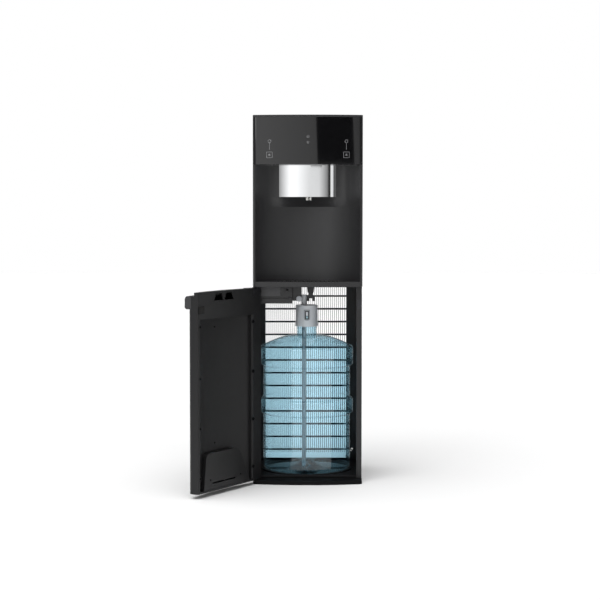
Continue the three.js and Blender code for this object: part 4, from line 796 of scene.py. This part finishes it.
print_grey = Finish("grey_printed_mark", {"IOR": 1.5, "Roughness": 0.2})
ink_cloud = print_grey.noise(2 * MM)
print_grey.feed("Base Color", print_grey.mix((0.26, 0.26, 0.27), (0.33, 0.33, 0.34), ink_cloud))
print_grey.bump(print_grey.noise(1 * MM), 0.005 * MM)
KEY_Z = 933 * MM
KEY_HALF = 8 * MM
KEY_LINE = 0.7 * MM
KEY_UPRIGHT = KEY_HALF - KEY_LINE - 0.1 * MM  # stops just short of the level strokes
marks = Form()
for side in (-1, 1):
    x = side * 108 * MM
    ring_mark(marks, x, 971 * MM, 4.2 * MM, 0.8 * MM)
    stroke(marks, x, 966 * MM, x, 948 * MM, 0.7 * MM)
    for level in (-KEY_HALF, KEY_HALF):
        stroke(marks, x - KEY_HALF, KEY_Z + level, x + KEY_HALF, KEY_Z + level, KEY_LINE)
        stroke(marks, x + level, KEY_Z - KEY_UPRIGHT, x + level, KEY_Z + KEY_UPRIGHT, KEY_LINE)
    for spoke in range(3):
        t = math.radians(90 + 60 * spoke)
        dx, dz = 3.6 * MM * math.cos(t), 3.6 * MM * math.sin(t)
        stroke(marks, x - dx, KEY_Z - dz, x + dx, KEY_Z + dz, KEY_LINE)
for z in (984 * MM, 968 * MM):
    ring_mark(marks, 0, z, 3.0 * MM, 0.6 * MM, 120, 300)
    stroke(marks, 0, z - 2 * MM, 0, z + 3 * MM, 0.6 * MM)
marks.make("printed_touch_marks", "cabinet", print_grey.material)


# ---- Top cover ----
# A shallow black lid, moulded with a matte grain, that presses onto the head and the side panels. Its thin
# edge shows all round above the glossy front.

LID_BLACK = moulded_plastic("lid_moulding", (0.016, 0.016, 0.017), 0.5, 0.7 * MM, 0.03 * MM)
dress("top_cover", LID_BLACK, 1.4 * MM)


# ---- Pump, valve block and probe hanger ----
# The pump sits in a black tub screwed under the deck, behind a lighter cover plate. A valve block beside it
# holds the inlet screen under a round cap, and a forked hanger takes the probe while a bottle is changed.

COVER_GREY = moulded_plastic("dark_grey_cover", (0.055, 0.055, 0.058), 0.42)
GREY_PLASTIC = moulded_plastic("light_grey_plastic", (0.40, 0.42, 0.45), 0.38, 0.5 * MM, 0.015 * MM)
PUMP_BLACK = moulded_plastic("pump_tub_moulding", (0.022, 0.022, 0.023), 0.42)
dress("pump_housing", PUMP_BLACK, 0.8 * MM)
dress("pump_cover", COVER_GREY, 0.8 * MM)
dress("water_pump", WHITE_PLASTIC, 0.5 * MM)
dress("pump_valve_block", PUMP_BLACK, 0.8 * MM)
dress("inlet_screen_cap", GREY_PLASTIC, 0.8 * MM)
dress("door_switch_plunger", PUMP_BLACK, 0.5 * MM)
dress("probe_hanger", PUMP_BLACK, 0.6 * MM)
pump_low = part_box("pump_housing")[0]
pump_screws = Form()
for x, z in ((-51, 528), (-131, 519)):
    pan_head_screw(pump_screws, (x * MM, pump_low.y - 0.05 * MM, z * MM), (0, -1, 0), 2.8 * MM, 1.6 * MM)
pump_screws.make("pump_tub_screws", "cabinet", BLACK_SCREW)


# ---- Bottle and water ----
# A returnable bottle blown in clear blue plastic, with two stiffening hoops, a thread on its neck and a base
# pushed up into a cone. The water in it stands just above the shoulder.

bottle_low, bottle_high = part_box("bottle")
BOTTLE_Y = (bottle_low.y + bottle_high.y) / 2
WALL_R = 127.5 * MM
HOOP_R = 136 * MM
NECK_R = 29 * MM
HOOPS = ((187 * MM, 231 * MM), (328 * MM, 382 * MM))
SHOULDER_RISE = 31 * MM
BOTTLE_WALL = 1.5 * MM
PUNT_RADIUS = 62 * MM
PUNT_RISE = 26 * MM
FOOT_RADIUS = 14 * MM
AXIS = 0.02 * MM  # the innermost ring of a turned piece
bottle_z = bottle_low.z


def eased(share):
    return share * share * (3 - 2 * share)


def bottle_profile(inset):
    """The bottle's wall from its foot up to the neck, moved inwards by inset."""
    wall, hoop, neck = WALL_R - inset, HOOP_R - inset, NECK_R - inset
    points = []
    for k in range(9):
        t = math.pi / 2 * k / 8
        radius = wall - FOOT_RADIUS + FOOT_RADIUS * math.sin(t)
        points.append((radius, bottle_z + inset + FOOT_RADIUS * (1 - math.cos(t))))
    for z0, z1 in HOOPS:
        last = z1 == HOOPS[-1][1]
        for k in range(9):
            share = k / 8
            points.append((wall + (hoop - wall) * eased(share), z0 - 7 * MM + 9 * MM * share))
        for k in range(9):
            share = k / 8
            drop = (hoop - wall) * eased(share) if not last else 4 * MM * share ** 2
            points.append((hoop - drop, z1 - 6 * MM + (9 if not last else 6) * MM * share))
    shoulder = hoop - 4 * MM
    for k in range(1, 17):
        share = k / 16
        radius = shoulder + (neck - shoulder) * share
        rise = SHOULDER_RISE * math.sin(share * math.pi / 2)
        points.append((radius, HOOPS[-1][1] + rise - inset * share))
    return points


def punt(inset):
    """The base, from its middle out to the foot: a cone pushed up into the bottle."""
    return [(PUNT_RADIUS * k / 10, bottle_z + inset + PUNT_RISE * (1 - eased(k / 10))) for k in range(11)]


neck_top = bottle_high.z
thread = []
for k in range(25):
    share = k / 24
    ripple = 1.3 * MM * max(0.0, math.sin(share * 6 * math.pi)) ** 2
    thread.append((NECK_R - 1.0 * MM + ripple, HOOPS[-1][1] + SHOULDER_RISE + (neck_top - HOOPS[-1][1]
                                                                              - SHOULDER_RISE) * share))
blown = Form()
outside = punt(0)[1:] + bottle_profile(0)[:-1] + thread
inside = [(NECK_R - 1.0 * MM - BOTTLE_WALL, neck_top)] + bottle_profile(BOTTLE_WALL)[::-1]
inside += punt(BOTTLE_WALL)[:0:-1]
punt_top = bottle_z + PUNT_RISE
blown.turned([(AXIS, punt_top)] + outside + inside + [(AXIS, punt_top + BOTTLE_WALL)], 0, BOTTLE_Y, 96)
clear = Finish("clear_blue_blown_plastic", {"Transmission Weight": 1.0, "IOR": 1.0, "Roughness": 0.0,
                                            "Coat Weight": 1.0, "Coat Roughness": 0.04, "Coat IOR": 1.5})
tint_cloud = clear.noise(40 * MM, 2, (1, 1, 0.3))
clear.feed("Base Color", clear.mix((0.68, 0.85, 0.92), (0.72, 0.88, 0.95), tint_cloud))
bottle = blown.make("blown_bottle", "cabinet", clear.material, limit=60)
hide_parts("bottle")

water_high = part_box("bottle_water")[1]
water = Form()
WATER_GAP = 1.8 * MM
level = water_high.z
surface = [p for p in bottle_profile(WATER_GAP) if p[1] < level - 1 * MM]
edge_radius = surface[-1][0] - 3 * MM
water.turned(punt(WATER_GAP)[1:] + surface + [(edge_radius, level), (AXIS, level)], 0, BOTTLE_Y, 96)
still = Finish("still_water", {"Transmission Weight": 1.0, "IOR": 1.0, "Roughness": 0.0})
still.feed("Base Color", still.mix((0.86, 0.95, 0.97), (0.88, 0.96, 0.98), still.noise(80 * MM, 2)))
water_piece = water.make("water_in_bottle", "cabinet", still.material, limit=60)
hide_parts("bottle_water")


# ---- Probe ----
# A cap that screws over the bottle's neck, with the suction tube down its middle, an elbow that pushes onto
# the valve block and a release button at the front. All are moulded in grey plastic.

CAP_GREY = moulded_plastic("probe_cap_plastic", (0.80, 0.82, 0.85), 0.36, 0.5 * MM, 0.01 * MM)
dress("probe_cap", CAP_GREY, 0.9 * MM)
dress("cap_release_button", GREY_PLASTIC, 0.8 * MM)
button_low, button_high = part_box("cap_release_button")
LATCH_LIFT = 0.02 * MM
LATCH_PROUD = 0.10 * MM


def latch_slab(name, left, right, bottom, top, proud, finish):
    """A thin slab that lies on the button's front, between two shares of its width and of its height."""
    width, height = button_high.x - button_low.x, button_high.z - button_low.z
    outline = [(button_low.x + width * u, button_low.z + height * v)
               for u, v in ((left, bottom), (right, bottom), (right, top), (left, top))]
    form = Form()
    form.slab(outline, LATCH_LIFT, proud, lambda x, z, lift: (x, button_low.y - lift, z))
    form.make(name, "release_button", finish)


# The groove is painted shade: a flat black sheet on the button's front that darkens the gap round the grey
# tongue. The tongue and the blue inset lie over it.
GROOVE_PAINTED_SHADE = moulded_plastic("latch_groove_painted_shade", (0.006, 0.006, 0.007), 0.5, shine=0.2)
INSET_BLUE = moulded_plastic("latch_inset", (0.42, 0.60, 0.68), 0.35)
latch_slab("latch_groove_painted_shade", 0.20, 0.80, 0.12, 0.88, LATCH_PROUD, GROOVE_PAINTED_SHADE)
latch_slab("latch_tongue", 0.34, 0.66, 0.44, 0.80, 2 * LATCH_PROUD, CAP_GREY)
latch_slab("latch_inset", 0.34, 0.66, 0.20, 0.40, 2 * LATCH_PROUD, INSET_BLUE)
dress("probe_tube", GREY_PLASTIC, 0.2 * MM)
dress("probe_elbow", CAP_GREY, 0.4 * MM)


# ---- Hinges and strike ----
# The door turns on a blackened steel bracket at the top and a zinc plated pin at the bottom. A blackened
# strike plate on the post meets the magnet on the door.

for name in ("upper_hinge_bracket", "lower_hinge_pin", "strike_plate", "upper_hinge_leaf"):
    dress(name, BLACK_SCREW if name != "lower_hinge_pin" else PLATED, 0.3 * MM)


# ---- Door ----
# A bowed black skin with an inner panel screwed into its back. The panel has a hollow field, a rib beside the
# hinge with four screws, and a raised box over the stiffener at its foot.

DOOR_BLACK = moulded_plastic("door_moulding", (0.0080, 0.0080, 0.0086), 0.42, 0.4 * MM, 0.012 * MM, 0.35)
dress("door_outer_skin", DOOR_BLACK, 0.8 * MM)
dress("door_inner_panel", DOOR_BLACK, 0.8 * MM)
dress("door_kick_box", DOOR_BLACK, 0.8 * MM)
dress("door_magnet", RUBBER, 0.5 * MM)
hinge = next(j for j in frame["joints"] if j["name"] == "door_hinge")
HINGE_AT = Vector(hinge["pos_m"])
OPEN_ANGLE = math.radians(max(hinge["range_deg"]))  # the joint turns by this much to close the door
swing = Matrix.Rotation(-OPEN_ANGLE, 4, "Z")
open_door = Matrix.Translation(HINGE_AT) @ swing @ Matrix.Translation(-HINGE_AT)

DOOR_BACK_Y = -134 * MM
RIB_X = -110 * MM
RIB_BACK_Y = DOOR_BACK_Y + 2.5 * MM
door_screws_and_boss_shade = Form()
BOSS_X = 143.5 * MM
RIB_SCREW_HEIGHTS = (55, 190, 325, 465)
PLATE_SCREWS = ((128, 519), (75, 462), (75, 145), (-51, 42), (95, 45))
for z in RIB_SCREW_HEIGHTS:
    pan_head_screw(door_screws_and_boss_shade, (RIB_X, RIB_BACK_Y - 0.6 * MM, z * MM), (0, 1, 0), 5.2 * MM, 3.2 * MM)
    # The dark screw heads on the bosses are painted shade: they stand in for the shadow round each boss.
    pan_head_screw(door_screws_and_boss_shade, (BOSS_X, DOOR_BACK_Y - 0.4 * MM, z * MM), (0, 1, 0), 3.4 * MM, 2.0 * MM)
for x, z in PLATE_SCREWS:
    pan_head_screw(door_screws_and_boss_shade, (x * MM, DOOR_BACK_Y - 1.2 * MM, z * MM), (0, 1, 0), 2.6 * MM, 1.5 * MM)
# One dark finish for every door screw. On the bosses it is painted shade.
DARK_SCREW_AND_BOSS_SHADE = zinc_plate("oiled_black_screw_and_boss_shade", (0.010, 0.010, 0.011), 0.40)
door_screws_and_boss_shade.make("door_panel_screws_and_boss_shade", "door", DARK_SCREW_AND_BOSS_SHADE, turn=open_door)


# ---- Door handle ----
# A ledge across the whole door under the finger recess, moulded in satin black with a full rounded top that
# the fingers pull on.

satin = Finish("satin_black_handle", {"IOR": 1.5})
satin.feed("Base Color", satin.mix((0.028, 0.028, 0.030), (0.036, 0.036, 0.038), satin.noise(30 * MM, 3)))
satin.feed("Roughness", 0.24 + 0.10 * satin.noise(3 * MM, 3, (0.2, 1, 1)))
satin.bump(satin.noise(0.8 * MM, 2), 0.01 * MM)
dress("door_handle", satin.material, 1.2 * MM)
